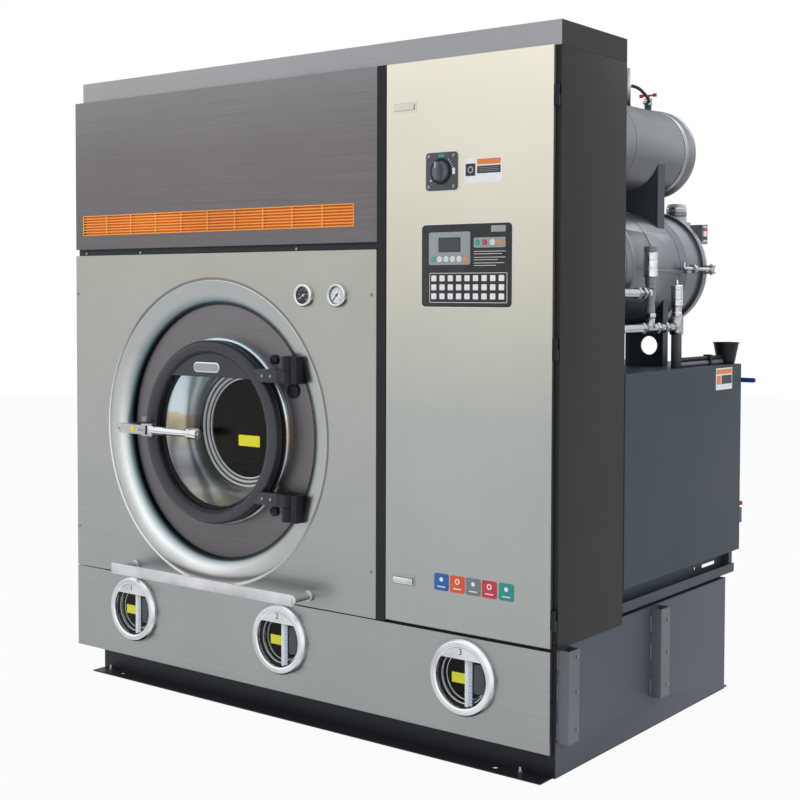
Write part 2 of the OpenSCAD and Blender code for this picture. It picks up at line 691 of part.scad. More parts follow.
// fixed hinge blocks with their pins
lug_h = 44;
block_out = 50;
module hinge_blocks() color("#141518") at_origin()
    for (s = [-1, 1]) {
        z_arm = drum_z + s * hinge_dz;
        z_lug = s > 0 ? z_arm + arm_h / 2 + seat_gap : z_arm - arm_h / 2 - seat_gap - lug_h;
        z_lo = min(z_lug, z_arm - arm_h / 2);
        y_plate = hinge_y + knuckle_r + 6;
        intersection() {
            union() {
                // base plate on the front plate, lug above or below the arm, and side cheek
                block([hinge_x - 40, y_plate, z_lo], [hinge_x + block_out, disc_y, z_lo + lug_h + arm_h]);
                block([hinge_x - 24, hinge_y, z_lug], [hinge_x + block_out, y_plate, z_lug + lug_h]);
                translate([hinge_x, hinge_y, z_lug]) cylinder(r = 24, h = lug_h);
                block([hinge_x + knuckle_r + 4, hinge_y - knuckle_r, z_lo],
                      [hinge_x + block_out, y_plate, z_lo + lug_h + arm_h]);
            }
            inside_rim();
        }
        // pin through the knuckle
        translate([hinge_x, hinge_y, z_arm - arm_h / 2 - 3]) cylinder(r = hinge_pin_r, h = arm_h + 6);
    }

// flat bar in front of the door panel on two round posts
bar_x0 = drum_x - 400;
bar_x1 = drum_x + 459;
bar_z0 = door_panel_z0 + 18;
bar_h = 37;
bar_y = -92;
bar_t = 5;
module guard_bar() color("#c4c7cb") at_origin() {
    zc = bar_z0 + bar_h / 2;
    block([bar_x0, bar_y, bar_z0], [bar_x1 - bar_h / 2, bar_y + bar_t, bar_z0 + bar_h]);
    disc_y([bar_x1 - bar_h / 2, bar_y, zc], bar_h / 2, bar_t);
    for (x = [bar_x0 + 27, bar_x1 - 22]) {
        disc_y([x, bar_y + bar_t, zc], 11, -bar_y - bar_t);
        disc_y([x, -9, zc], 17, 9);
        disc_y([x, bar_y + bar_t, zc], 15, 7);
    }
}

grille_x0 = 40;
grille_x1 = bay_w - 87;
grille_z0 = lint_z0 + 49;
grille_h = 72;
bevel_w = 35;
module lint_panel() color("#6b686b") at_origin() difference() {
    union() {
        translate([0, 0, lint_z0]) linear_extrude(lint_panel_h) polygon([
            [0, 0], [bay_w - bevel_w, 0], [bay_w, skin_d - 2], [bay_w, skin_d], [bay_w - 3, skin_d],
            [bay_w - bevel_w - 1, skin_t], [skin_t, skin_t], [skin_t, skin_d], [0, skin_d]
        ]);
        block([skin_t, skin_t, lint_z0], [bay_w - bevel_w - 1, skin_d, lint_z0 + skin_t]);
        block([skin_t, skin_t, lint_z1 - skin_t], [bay_w - bevel_w - 1, skin_d, lint_z1]);
    }
    block([grille_x0, -1, grille_z0], [grille_x1, skin_t + 1, grille_z0 + grille_h]);
}

// orange louvre strip: ten fields of level slats
grille_fields = 10;
grille_slots = 7;
grille_bar = 4;
module air_grille() color("#f57a1e") at_origin() {
    pitch = (grille_x1 - grille_x0 - grille_bar) / grille_fields;
    step = (grille_h - grille_bar) / grille_slots;
    difference() {
        block([grille_x0 + seat_gap, -1, grille_z0 + seat_gap],
              [grille_x1 - seat_gap, skin_t, grille_z0 + grille_h - seat_gap]);
        for (i = [0:1:grille_fields - 1], k = [0:1:grille_slots - 1])
            block([grille_x0 + grille_bar + pitch * i, -2, grille_z0 + grille_bar + step * k],
                  [grille_x0 + pitch * (i + 1), skin_t + 1, grille_z0 + step * (k + 1)]);
    }
    // folded edge behind the panel
    block([grille_x0 - 8, skin_t, grille_z0 - 8], [grille_x1 + 8, skin_t + 1.5, grille_z0]);
    block([grille_x0 - 8, skin_t, grille_z0 + grille_h],
          [grille_x1 + 8, skin_t + 1.5, grille_z0 + grille_h + 8]);
}

// ---- air path above the drum ----

fan_r = 150;
fan_y0 = 210;
fan_w = 90;
fan_shaft_r = 9;
module air_fan() color("#9aa0a6") at_origin() {
    disc_y([fan_x, fan_y0 + fan_w, fan_z], fan_r, 3);
    pipe_y([fan_x, fan_y0, fan_z], fan_r, fan_r - 45, 3);
    disc_y([fan_x, fan_y0 + 30, fan_z], 30, fan_w - 30);
    disc_y([fan_x, fan_y0 + fan_w + 3, fan_z], fan_shaft_r, body_d + 40 - fan_y0 - fan_w);
    for (k = [0:1:9]) translate([fan_x, fan_y0 + 3, fan_z]) rotate([0, k * 36, 0])
        translate([fan_r - 46, 0, -1.5]) cube([40, fan_w - 3, 3]);
}

fan_motor_l = 170;
module fan_motor() color("#2f4a66") at_origin() difference() {
    union() {
        disc_y([fan_x, body_d, fan_z], 95, 10);
        disc_y([fan_x, body_d + 10, fan_z], 72, fan_motor_l);
        disc_y([fan_x, body_d + 10 + fan_motor_l, fan_z], 76, 36);
        block([fan_x - 40, body_d + 50, fan_z + 60], [fan_x + 40, body_d + 130, fan_z + 100]);
    }
    disc_y([fan_x, body_d - 1, fan_z], fan_shaft_r + run_fit, 60);
}

// ---- gauges on the door panel ----

gauge_xs = [drum_x + 414, drum_x + 551];
gauge_z = door_panel_z1 - 139;
gauge_r = 37;
gauge_case_r = 31;
gauge_proud = 13;
dial_y = -5;
needle_y = dial_y - 2;
module gauges() color("#d0d3d7") at_origin()
    for (x = gauge_xs) {
        // bezel ring, dial with its case, and the glass
        pipe_y([x, -gauge_proud, gauge_z], gauge_r, gauge_case_r, gauge_proud);
        disc_y([x, dial_y, gauge_z], gauge_case_r, 40);
        disc_y([x, -gauge_proud + 2, gauge_z], gauge_case_r, 2);
        disc_y([x, dial_y + 40, gauge_z], 8, 25);
    }

// needle with a long tip, a short tail and a hub
needle_l = 24;
module needle(x, angle) translate([x, needle_y, gauge_z]) rotate([0, angle, 0]) {
    disc_y([0, 0, 0], 3.5, 1.6);
    block([-1, 0, 0], [1, 1, needle_l]);
    block([-1.5, 0, -9], [1.5, 1, 0]);
}
module thermometer_needle() color("#f0f0f0") at_origin() needle(gauge_xs[0], -120);
module pressure_needle() color("#1b1b1b") at_origin() needle(gauge_xs[1], -138);

// ---- electrical cabinet ----

module cabinet() color("#3d3e40") at_origin() {
    z_floor = deck_z;
    // skins: right side, left side, back, floor and roof
    block([cab_x1 - 4, skin_d, cab_z0], [cab_x1, body_d, cab_z1]);
    block([cab_x0, skin_d, z_floor], [cab_x0 + skin_t, body_d, cab_z1]);
    block([cab_x0 + skin_t, body_d - skin_t, z_floor], [cab_x1 - 4, body_d, cab_z1]);
    block([cab_x0 + skin_t, skin_d, z_floor], [cab_x1 - 4, body_d - skin_t, z_floor + skin_t]);
    block([cab_x0 + skin_t, skin_d, cab_z1 - skin_t], [cab_x1 - 4, body_d - skin_t, cab_z1]);
    // front frame around the door opening, with the black strip at its left
    block([cab_x0, 0, cab_z0 - 4], [door_x0 - 3, skin_d, cab_z1]);
    block([cab_x0 + skin_t, skin_d, z_floor + skin_t], [door_x0 + 14, skin_d + skin_t, cab_z1 - skin_t]);
    block([door_x1 - 24, skin_d, z_floor + skin_t], [cab_x1 - 4, skin_d + skin_t, cab_z1 - skin_t]);
    block([door_x0 - 3, skin_d - skin_t, cab_z0], [cab_x1, skin_d, cab_z0 + 2]);
    // mounting plate on two rails at the back
    block([door_x0 + 40, body_d - 30, z_floor + 60], [door_x1 - 40, body_d - 27, cab_z1 - 80]);
    for (z = [z_floor + 120, cab_z1 - 160])
        block([door_x0 + 60, body_d - 27, z], [door_x1 - 60, body_d - skin_t, z + 30]);
}

cab_hinge_zs = [cab_z1 - 137, (cab_z0 + cab_z1) / 2 - 1, cab_z0 + 81];
latch_zs = [cab_z1 - 132, cab_z0 + 129];
latch_x = door_x0 + 68;
latch_r = 7;
latch_frame_t = 2;
latch_t = 3;
door_t = skin_d - seat_gap - skin_t;
hinge_half = cab_hinge_h / 2;
module cabinet_door() color("#b9b6aa") at_origin() difference() {
    union() {
        difference() {
            block([door_x0, 0, cab_z0 + 3], [door_x1, door_t, cab_z1 - 1]);
            block([door_x0 + skin_t, skin_t, cab_z0 + 3 + skin_t],
                  [door_x1 - skin_t, door_t + 1, cab_z1 - 1 - skin_t]);
        }
        // upper knuckle of each hinge
        for (z = cab_hinge_zs) {
            translate([cab_pin_x, cab_pin_y, z]) cylinder(r = cab_pin_r + 3, h = hinge_half);
            block([door_x1 - 1, cab_pin_y - 2, z], [cab_pin_x - cab_pin_r - 1, cab_pin_y + 2, z + hinge_half]);
        }
        // latch frames
        for (z = latch_zs) difference() {
            block([latch_x - 42, -latch_frame_t, z - 16], [latch_x + 42, 0, z + 16]);
            block([latch_x - 38, -latch_frame_t - 1, z - 12], [latch_x + 38, 1, z + 12]);
        }
    }
    for (z = cab_hinge_zs) translate([cab_pin_x, cab_pin_y, z - 1])
        cylinder(r = cab_pin_r + run_fit, h = hinge_half + 2);
    for (z = latch_zs) disc_y([latch_x, -5, z], latch_r + run_fit, skin_t + 6);
    disc_y([switch_x, -1, switch_z], switch_shaft_r + slip_gap, skin_t + 2);
}

// lower knuckles with their pins, fixed to the cabinet
module cabinet_hinges() color("#0f0f10") at_origin()
    for (z = cab_hinge_zs) {
        translate([cab_pin_x, cab_pin_y, z - hinge_half]) {
            cylinder(r = cab_pin_r + 3, h = hinge_half - seat_gap);
            cylinder(r = cab_pin_r, h = cab_hinge_h - 4);
        }
        block([cab_pin_x - 2, cab_pin_y, z - hinge_half], [cab_pin_x + 6, skin_d, z - seat_gap]);
    }

// quarter-turn latch: a flat paddle that turns clear of its frame, a stem, and a short tongue inside
module latch(z) {
    latch_y = -latch_frame_t - seat_gap;
    round_plate(latch_x - 36, latch_x + 36, z - 9, z + 9, latch_y - latch_t, latch_t, 4);
    disc_y([latch_x, latch_y - 1, z], latch_r, skin_t + 8 - latch_y);
    block([latch_x - 46, skin_t + 2.5, z - 8], [latch_x + 8, skin_t + 5.5, z + 8]);
}
module upper_latch() color("#e4dfd0") at_origin() latch(latch_zs[0]);
module lower_latch() color("#b9bcb8") at_origin() latch(latch_zs[1]);

plate_half = 55;
module switch_plate() color("#2b2d2f") at_origin() difference() {
    union() {
        round_plate(switch_x - plate_half, switch_x + plate_half, switch_z - plate_half, switch_z + plate_half,
                    -5, 5, 10);
        for (x = [-1, 1], z = [-1, 1])
            disc_y([switch_x + x * 44, -6.5, switch_z + z * 44], 4, 2);
    }
    disc_y([switch_x, -8, switch_z], switch_shaft_r + run_fit, 10);
}

// round knob with a raised grip bar, and its shaft through the plate
module switch_knob() color("#3a3f43") at_origin() {
    disc_y([switch_x, -16, switch_z], 27, 11 - seat_gap);
    block([switch_x - 7, -34, switch_z - 26], [switch_x + 7, -16, switch_z + 26]);
    disc_y([switch_x, -6, switch_z], switch_shaft_r, 30);
}

// panel with its display, round membrane keys and square membrane keys
key_cols = 9;
key_rows = 3;
key_pitch_x = 29.5;
key_pitch_z = 26;
key_w = 18;
key_h = 17;
display_x0 = panel_x0 + 28;
display_z0 = panel_z0 + 121;
module control_panel() color("#17181b") at_origin() {
    round_plate(panel_x0, panel_x1, panel_z0, panel_z1, -panel_t, panel_t, 12);
    // display frame and its window
    difference() {
        round_plate(display_x0, display_x0 + 146, display_z0, display_z0 + 95, -panel_t - 3, 3, 6);
        block([display_x0 + 33, -panel_t - 4, display_z0 + 36], [display_x0 + 113, -panel_t - 1, display_z0 + 80]);
    }
    // strip with the four signal keys
    round_plate(display_x0 + 158, display_x0 + 266, display_z0 + 48, display_z0 + 77, -panel_t - 1.5, 1.5, 4);
    for (k = [0:1:5])
        disc_y([display_x0 + 16 + 23 * k, -panel_t - 4.5, display_z0 + 17], 8.5, 2);
    for (k = [0:1:3])
        disc_y([display_x0 + 170 + 26 * k, -panel_t - 3, display_z0 + 63], 8.5, 2);
    // square keys
    for (i = [0:1:key_cols - 1], k = [0:1:key_rows - 1])
        translate([panel_x0 + 36 + key_pitch_x * i, -panel_t - 1.2, panel_z0 + 22 + key_pitch_z * k])
            cube([key_w, 1.2, key_h]);
}

cap_x0 = 26;
module top_cap() color("#4b5054") at_origin() difference() {
    block([cap_x0, skin_d, lint_z1], [cab_x1, body_d, machine_h]);
    block([cap_x0 + skin_t, skin_d + skin_t, lint_z1 - 1], [cab_x1 - skin_t, body_d - skin_t, machine_h - skin_t]);
}

// ---- rear unit ----

module rear_casing() color("#48525a") at_origin() difference() {
    block([rear_x0, rear_y0, rear_z0], [rear_x1, rear_d, rear_z1]);
    block([rear_x0 + wall_t, rear_y0 + wall_t, rear_z0 + wall_t],
          [rear_x1 - wall_t, rear_d - wall_t, rear_z1 - wall_t]);
}

module still_vessel() color("#6b7075") at_origin() difference() {
    union() {
        // shell with a raised band, a weld seam and a rear flange
        along_y([vessel_x, 0, still_z]) rotate_extrude($fn = 96) polygon([
            [0, still_y0], [still_r, still_y0], [still_r, still_y0 + 195], [still_r + 4, still_y0 + 197],
            [still_r + 4, still_y0 + 211], [still_r, still_y0 + 213], [still_r, vessel_y1 - 108],
            [still_r + 1.5, vessel_y1 - 107], [still_r + 1.5, vessel_y1 - 102], [still_r, vessel_y1 - 101],
            [still_r, vessel_y1], [still_rim_r, vessel_y1], [still_rim_r, vessel_y1 + rim_t],
            [still_r - 6, vessel_y1 + rim_t], [still_r - 6, still_y0 + 8], [0, still_y0 + 8]
        ]);
        // hinge lugs for the rear door
        for (s = [-1, 1]) difference() {
            union() {
                block([still_hinge_x - 12, vessel_y1, still_z + s * 60 - 14],
                      [vessel_x - still_r + 12, vessel_y1 + rim_t, still_z + s * 60 + 14]);
                translate([still_hinge_x, still_hinge_y, still_z + s * 60 - 14]) cylinder(r = 12, h = 28);
                block([still_hinge_x - 12, vessel_y1 + rim_t - 8, still_z + s * 60 - 14],
                      [still_hinge_x + 12, still_hinge_y, still_z + s * 60 + 14]);
            }
            disc_y([vessel_x, vessel_y1 - 1, still_z], still_r, rim_t + 2, $fn = 96);
        }
        // lug that the clamp's front end rests on
        difference() {
            block([vessel_x + still_r - 8, clamp_y - 212, still_z - 16],
                  [clamp_x + 12, clamp_y - 176, still_z - 6 - seat_gap]);
            disc_y([vessel_x, clamp_y - 220, still_z], still_r - 1, 60, $fn = 96);
        }
    }
    for (s = [-1, 1]) translate([still_hinge_x, still_hinge_y, still_z + s * 60 - 15])
        cylinder(r = 5 + run_fit, h = 30);
}

// dished rear door of the still, with a hinge strap at its left and a clamp lug at its right
still_door_y = vessel_y1 + rim_t + seat_gap;
door_back_y = still_door_y + 46;
clamp_x = vessel_x + still_rim_r + 14;
clamp_y = still_door_y + 13;
ear_t = 7;
ear_dz = 11;
motor_pad_x = vessel_x + 68;
motor_pad_z = still_z + 165;
box_x = vessel_x + 140;
box_z = still_z + 124;
module still_door() color("#74797e") at_origin() difference() {
    union() {
        along_y([vessel_x, still_door_y, still_z]) rotate_extrude($fn = 96) polygon([
            [0, 36], [0.6 * still_r, 30], [0.85 * still_r, 20], [still_r - 10, 8], [still_r - 10, 0],
            [still_rim_r - 3, 0], [still_rim_r - 3, 16], [still_rim_r - 16, 20],
            [0.85 * still_r, 30], [0.6 * still_r, 40], [0.3 * still_r, 45], [0, 46]
        ]);
        // strap with its hinge barrel between the vessel's lugs
        block([still_hinge_x, still_hinge_y - 6, still_z - 40],
              [vessel_x - 0.85 * still_r, still_hinge_y + 10, still_z + 40]);
        translate([still_hinge_x, still_hinge_y, still_z - 60 + 14 + seat_gap])
            cylinder(r = 12, h = 120 - 28 - 2 * seat_gap);
        // pin
        translate([still_hinge_x, still_hinge_y, still_z - 78]) cylinder(r = 5, h = 156);
        // clamp ears
        for (s = [-1, 1]) block([vessel_x + still_rim_r - 14, clamp_y - 12, still_z + s * ear_dz - ear_t / 2],
                                [clamp_x + 10, clamp_y + 12, still_z + s * ear_dz + ear_t / 2]);
        // pads for the motor's arm and its terminal box
        block([motor_pad_x - 22, still_door_y + 14, motor_pad_z - 22],
              [motor_pad_x + 22, door_back_y, motor_pad_z + 8]);
        block([box_x - 20, still_door_y + 14, box_z - 30], [box_x + 6, door_back_y, box_z]);
    }
    translate([clamp_x, clamp_y, still_z - 30]) cylinder(r = 5 + run_fit, h = 60);
}

// swing clamp: an eye on a pin, a rod with a round nut, and a hooked front end
module still_clamp() color("#8b9095") at_origin() {
    eye_h = 2 * ear_dz - ear_t - 2 * seat_gap;
    translate([clamp_x, clamp_y, still_z - 19]) cylinder(r = 5, h = 38);
    translate([clamp_x, clamp_y, still_z - eye_h / 2]) cylinder(r = 11, h = eye_h);
    disc_y([clamp_x, clamp_y - 215, still_z], 6, 206);
    disc_y([clamp_x, clamp_y - 140, still_z], 12, 20);
    disc_y([clamp_x, clamp_y - 148, still_z], 16, 8, $fn = 6);
    translate([clamp_x, clamp_y - 209, still_z]) cylinder(r = 5, h = 20);
}

// closed vessel with a rear rim and a dished end
tank_wall = 6;
module condenser_tank() color("#6e7276") at_origin() difference() {
    along_y([vessel_x, 0, tank_z]) rotate_extrude($fn = 96) polygon([
        [0, tank_y0], [tank_r, tank_y0], [tank_r, vessel_y1 + 2], [tank_rim_r, vessel_y1 + 4],
        [tank_rim_r, vessel_y1 + 36], [tank_rim_r - 8, vessel_y1 + 46], [0.8 * tank_r, vessel_y1 + 50],
        [0.4 * tank_r, vessel_y1 + 56], [0, vessel_y1 + 58]
    ]);
    disc_y([vessel_x, tank_y0 + tank_wall, tank_z], tank_r - tank_wall, vessel_y1 + 34 - tank_y0, $fn = 96);
}

// plate standing across the vessels, cut to seat them
plate_t = 8;
leg_x0 = 20;
leg_x1 = 160;
upper_half = tank_r - 10;
flange_d = 49;
module saddle(y) difference() {
    union() {
        for (s = [-1, 1]) {
            x_in = vessel_x + s * leg_x0;
            x_out = vessel_x + s * leg_x1;
            block([min(x_in, x_out), y + 14, rear_z1], [max(x_in, x_out), y + 14 + plate_t, still_z]);
            for (x = [min(x_in, x_out), max(x_in, x_out) - 6])
                block([x, y, rear_z1], [x + 6, y + 28 + plate_t, still_z]);
        }
        // upper bracket between the vessels
        block([vessel_x - upper_half, y, still_z], [vessel_x + upper_half, y + plate_t, tank_z]);
        for (x = [vessel_x - upper_half, vessel_x + upper_half - 6])
            block([x, y, still_z], [x + 6, y + flange_d, tank_z]);
    }
    disc_y([vessel_x, y - 30, still_z], still_r + seat_gap, 120, $fn = 96);
    disc_y([vessel_x, y - 30, tank_z], tank_r + seat_gap, 120, $fn = 96);
    for (s = [-1, 1]) disc_y([vessel_x + s * 100, y - 30, rear_z1 + 68], 31, 120);
}
saddle_ys = [still_y0 + 90, bracket_y];
module vessel_brackets() color("#51575d") at_origin() for (y = saddle_ys) saddle(y);

// small geared motor on an arm behind the still's door, with its terminal box
motor_arm_y = vessel_y1 + 115;
module still_motor() color("#7e858b") at_origin() {
    block([motor_pad_x - 18, door_back_y, motor_pad_z - 18],
          [motor_pad_x + 18, motor_arm_y + 20, motor_pad_z + 4]);
    translate([motor_pad_x - 28, motor_arm_y, motor_pad_z + 4]) {
        cylinder(r = 36, h = 16);
        translate([0, 0, 16]) cylinder(r = 34, h = 4);
        translate([0, 0, 20]) cylinder(r = 36, h = 30);
        translate([0, 0, 50]) cylinder(r1 = 36, r2 = 29, h = 14);
    }
    // terminal box with its lid
    block([box_x - 24, door_back_y, box_z - 32], [box_x + 24, door_back_y + 34, box_z + 32]);
    block([box_x - 26, door_back_y + 34, box_z - 34], [box_x + 26, door_back_y + 37, box_z + 34]);
}

// hexagonal union on a pipe along +Y
module union_y(p, r) along_y(p) {
    cylinder(r = r + 6, h = 14, $fn = 6);
    translate([0, 0, 14]) cylinder(r = r + 3, h = 12);
}

valve_ys = [body_d + 242, body_d + 426];
branch_z = pipe_z + 109;
vapour_y = max(bracket_y - 200, still_y0 + 249);
module pipework() color("#9a9ea2") at_origin() {
    // level pipe along the right side, with its unions
    disc_y([pipe_x, body_d, pipe_z], pipe_r, valve_ys[1] - body_d - 24);
    for (y = [valve_ys[0] - 64, valve_ys[0] + 34, valve_ys[0] + 92])
        union_y([pipe_x, y, pipe_z], pipe_r);
    // tee at the first valve, up to the valve's seat
    translate([pipe_x, valve_ys[0], pipe_z]) cylinder(r = pipe_r + 2, h = 34);
    // upper branch
    disc_y([pipe_x, body_d, branch_z], pipe_r, valve_ys[0] - body_d - 24);
    for (y = [valve_ys[0] - 92, valve_ys[0] - 58]) union_y([pipe_x, y, branch_z], pipe_r);
    // elbow and down pipe under the second valve
    translate([pipe_x, valve_ys[1], pipe_z - 24]) cylinder(r = pipe_r + 9, h = 58);
    translate([pipe_x, valve_ys[1], rear_z1]) cylinder(r = pipe_r + 4, h = pipe_z - 24 - rear_z1);
    disc_y([pipe_x, valve_ys[1] - 24, pipe_z], pipe_r + 4, 20);
    // vapour pipe between the vessels at their left
    difference() {
        translate([vessel_x - 90, vapour_y, still_z]) cylinder(r = 32, h = tank_z - still_z);
        disc_y([vessel_x, vapour_y - 60, still_z], still_r + seat_gap, 140, $fn = 96);
        disc_y([vessel_x, vapour_y - 60, tank_z], tank_r + seat_gap, 140, $fn = 96);
    }
    // boss and ball valve body on the condenser
    difference() {
        translate([vessel_x, vessel_y1 - 30, tank_z]) cylinder(r = 12, h = tank_r + 22);
        disc_y([vessel_x, vessel_y1 - 60, tank_z], tank_r + seat_gap, 60, $fn = 96);
    }
    translate([vessel_x, vessel_y1 - 30, tank_z + tank_r + 22]) cylinder(r = 15, h = 22);
    // thin vent pipe on the condenser
    difference() {
        translate([vent_x, vent_y, tank_z]) cylinder(r = 8, h = tank_r + 113);
        disc_y([vessel_x, vent_y - 30, tank_z], tank_r + seat_gap, 70, $fn = 96);
    }
    // level pipe lying on the casing's top
    disc_y([pipe_x, hose_y0, rear_z1 + level_r], level_r, funnel_y - 34 - hose_y0);
    // drain elbow at the rear casing's lower right
    disc_y([rear_x1 - 20, rear_d, rear_z0 + 122], 12, 28);
    translate([rear_x1 - 20, rear_d + 28, rear_z0 + 90]) cylinder(r = 14, h = 50);
    // blue-handled valve body on the rear casing
    disc_y([rear_x1 - 101, rear_d, rear_z1 - 60], 18, 50);
    // blind flange on the rear casing's back
    disc_y([rear_x0 + 220, rear_d, rear_z0 + 300], 62, 10);
    disc_y([rear_x0 + 220, rear_d + 10, rear_z0 + 300], 44, 8);
}

// two upright valves with cylindrical heads
module control_valves() color("#b6babd") at_origin() {
    translate([pipe_x, valve_ys[0], pipe_z + 34]) {
        cylinder(r = 20, h = 12, $fn = 6);
        translate([0, 0, 12]) cylinder(r = 16, h = 78);
        translate([0, 0, 90]) cylinder(r = 17, h = 36);
        translate([0, 0, 126]) cylinder(r = 22, h = 96);
    }
    along_y([pipe_x, valve_ys[0] - 24, branch_z]) cylinder(r = pipe_r + 3, h = 12);
    translate([pipe_x, valve_ys[1], pipe_z + 34]) {
        cylinder(r = 17, h = 34);
        translate([0, 0, 34]) cylinder(r = 19, h = 68);
        translate([0, 0, 102]) cylinder(r = 5, h = 16);
    }
}

// tee lever of the ball valve on the condenser
red_z = tank_z + tank_r + 44;
module red_valve_handle() color("#d8262c") at_origin() translate([vessel_x, vessel_y1 - 30, red_z + seat_gap]) {
    cylinder(r = 6, h = 8);
    block([-26, -6, 8], [26, 6, 13]);
    for (x = [-26, 26]) translate([x, 0, 5]) cylinder(r = 7, h = 11);
}

// lever of the valve behind the rear casing
blue_lever_l = 128;
module blue_valve_handle() color("#1d4fa0") at_origin()
    translate([rear_x1 - 101, rear_d + 50 + seat_gap, rear_z1 - 60]) {
        disc_y([0, 0, 0], 14, 10);
        round_plate(-10, blue_lever_l, -8, 8, 3, 6, 7);
    }

// knob of the drain valve at the rear casing's lower right
module drain_knob() color("#c2242a") at_origin()
    translate([rear_x1 - 20, rear_d + 28, rear_z0 + 140 + seat_gap]) {
        cylinder(r = 5, h = 10);
        translate([0, 0, 10]) cylinder(r = 16, h = 12);
    }

// open funnel on the rear casing's top
funnel_x = pipe_x + 2;
funnel_y = rear_d - 36;
module fill_funnel() color("#151618") at_origin() translate([funnel_x, funnel_y, rear_z1]) {
    rotate_extrude($fn = 48) polygon([
        [0, 0], [27, 0], [30, 4], [43, 70], [45, 70], [45, 74], [40, 74], [27, 6], [0, 6]
    ]);
}

// black hose from the down pipe to the funnel over a level pipe on the casing's top
hose_r = 7;
level_r = 9;
hose_y0 = valve_ys[1] + pipe_r + 4 + seat_gap;
vent_x = vessel_x + 50;
vent_y = body_d + 434;
module hoses() color("#0e0f10") at_origin() {
    difference() {
        disc_y([pipe_x, hose_y0, rear_z1 + 2 * level_r + hose_r], hose_r, funnel_y - hose_y0);
        translate([funnel_x, funnel_y, rear_z1 - 1]) cylinder(r = 38, h = 60);
    }
    // clip that holds the hose to the pipe
    translate([pipe_x, (hose_y0 + funnel_y) / 2 + 40, rear_z1]) difference() {
        block([-13, -8, 0], [13, 8, 2 * level_r + 2 * hose_r + 4]);
        disc_y([0, -9, level_r], level_r + run_fit, 18);
    }
}

base_frame();
base_walls();
solvent_tanks();
tank_front_panel();
sight_glass_rings();
sight_glasses();
level_scales();
panel_bolts();
deck_frame();
body_shell();
door_panel();
front_plate();
drum_housing();
loading_neck();
drum();
drum_shaft();
bearing_pedestal();
drum_pulley();
drive_belt();
drive_motor();
motor_pulley();
door_ring();
door_glass();
door_seal();
handle_bracket();
door_handle();
door_keeper();
hinge_blocks();
guard_bar();
lint_panel();
air_grille();
air_fan();
fan_motor();
gauges();
thermometer_needle();
pressure_needle();
cabinet();
cabinet_door();
cabinet_hinges();
upper_latch();
lower_latch();
switch_plate();
switch_knob();
control_panel();
top_cap();
condenser_tank();
still_vessel();
still_door();
still_clamp();
vessel_brackets();
still_motor();
pipework();
control_valves();
red_valve_handle();
blue_valve_handle();
drain_knob();
fill_funnel();
hoses();
rear_casing();
hinge_knuckles();
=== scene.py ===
# %% [markdown]
# # A dry cleaning machine in Blender
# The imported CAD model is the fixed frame: every body, joint and size comes from it.
# This file only makes the looks. It keeps the CAD pieces that are right, makes finer ones where the
# real machine has rounded, turned or printed detail, and gives every piece a finish made of nodes.

# %% Load the frame
import bpy, bmesh, json, math
from mathutils import Matrix, Vector

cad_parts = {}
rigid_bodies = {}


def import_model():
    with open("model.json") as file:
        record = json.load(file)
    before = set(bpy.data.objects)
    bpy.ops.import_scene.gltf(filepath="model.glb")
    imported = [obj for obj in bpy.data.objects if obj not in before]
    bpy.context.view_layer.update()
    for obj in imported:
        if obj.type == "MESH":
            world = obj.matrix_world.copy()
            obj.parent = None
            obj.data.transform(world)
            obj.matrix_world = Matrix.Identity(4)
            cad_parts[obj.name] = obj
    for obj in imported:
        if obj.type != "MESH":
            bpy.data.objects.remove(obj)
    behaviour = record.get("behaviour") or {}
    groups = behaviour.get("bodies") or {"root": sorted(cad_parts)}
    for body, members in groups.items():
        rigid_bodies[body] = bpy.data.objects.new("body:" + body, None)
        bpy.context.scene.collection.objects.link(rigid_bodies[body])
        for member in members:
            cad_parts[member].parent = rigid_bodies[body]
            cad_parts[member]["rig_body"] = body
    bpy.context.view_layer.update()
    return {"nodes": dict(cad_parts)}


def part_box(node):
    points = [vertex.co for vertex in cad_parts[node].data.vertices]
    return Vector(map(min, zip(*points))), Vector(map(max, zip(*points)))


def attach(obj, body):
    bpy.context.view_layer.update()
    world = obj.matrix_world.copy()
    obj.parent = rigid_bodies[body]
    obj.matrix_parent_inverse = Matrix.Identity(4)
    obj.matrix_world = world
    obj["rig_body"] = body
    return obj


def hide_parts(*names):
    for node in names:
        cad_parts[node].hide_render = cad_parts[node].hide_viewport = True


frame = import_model()
nodes = frame["nodes"]

# %% [markdown]
# The drawings of the machine count millimetres from the bay's left edge, the front panels and the floor.
# The frame's origin is the middle of the chassis, in metres. Small functions go from one to the other, so
# nearly every size below can be read in millimetres. The drum's axis is the middle of many pieces.

# %% Millimetres of the machine to metres of the frame
ORIGIN_X, ORIGIN_Y = 1076.0, 571.5
DRUM_X, DRUM_Z = 691, 887
DRUM = (DRUM_X, 0, DRUM_Z)

def place(x, y, z):
    return Vector(((x - ORIGIN_X) / 1000, (y - ORIGIN_Y) / 1000, z / 1000))

def at_x(x):
    return place(x, 0, 0).x

def at_y(y):
    return place(0, y, 0).y

print("gauge centre:", place(1242, -13, 1344))

# %% [markdown]
# The camera stands where the photographer stood: to the right, a little above the middle. Its place and lens
# were solved from the panels' corners and the round parts. The frame is cut a little off the lens's axis,
# which is what the two shift values say. Depth of field stays off.

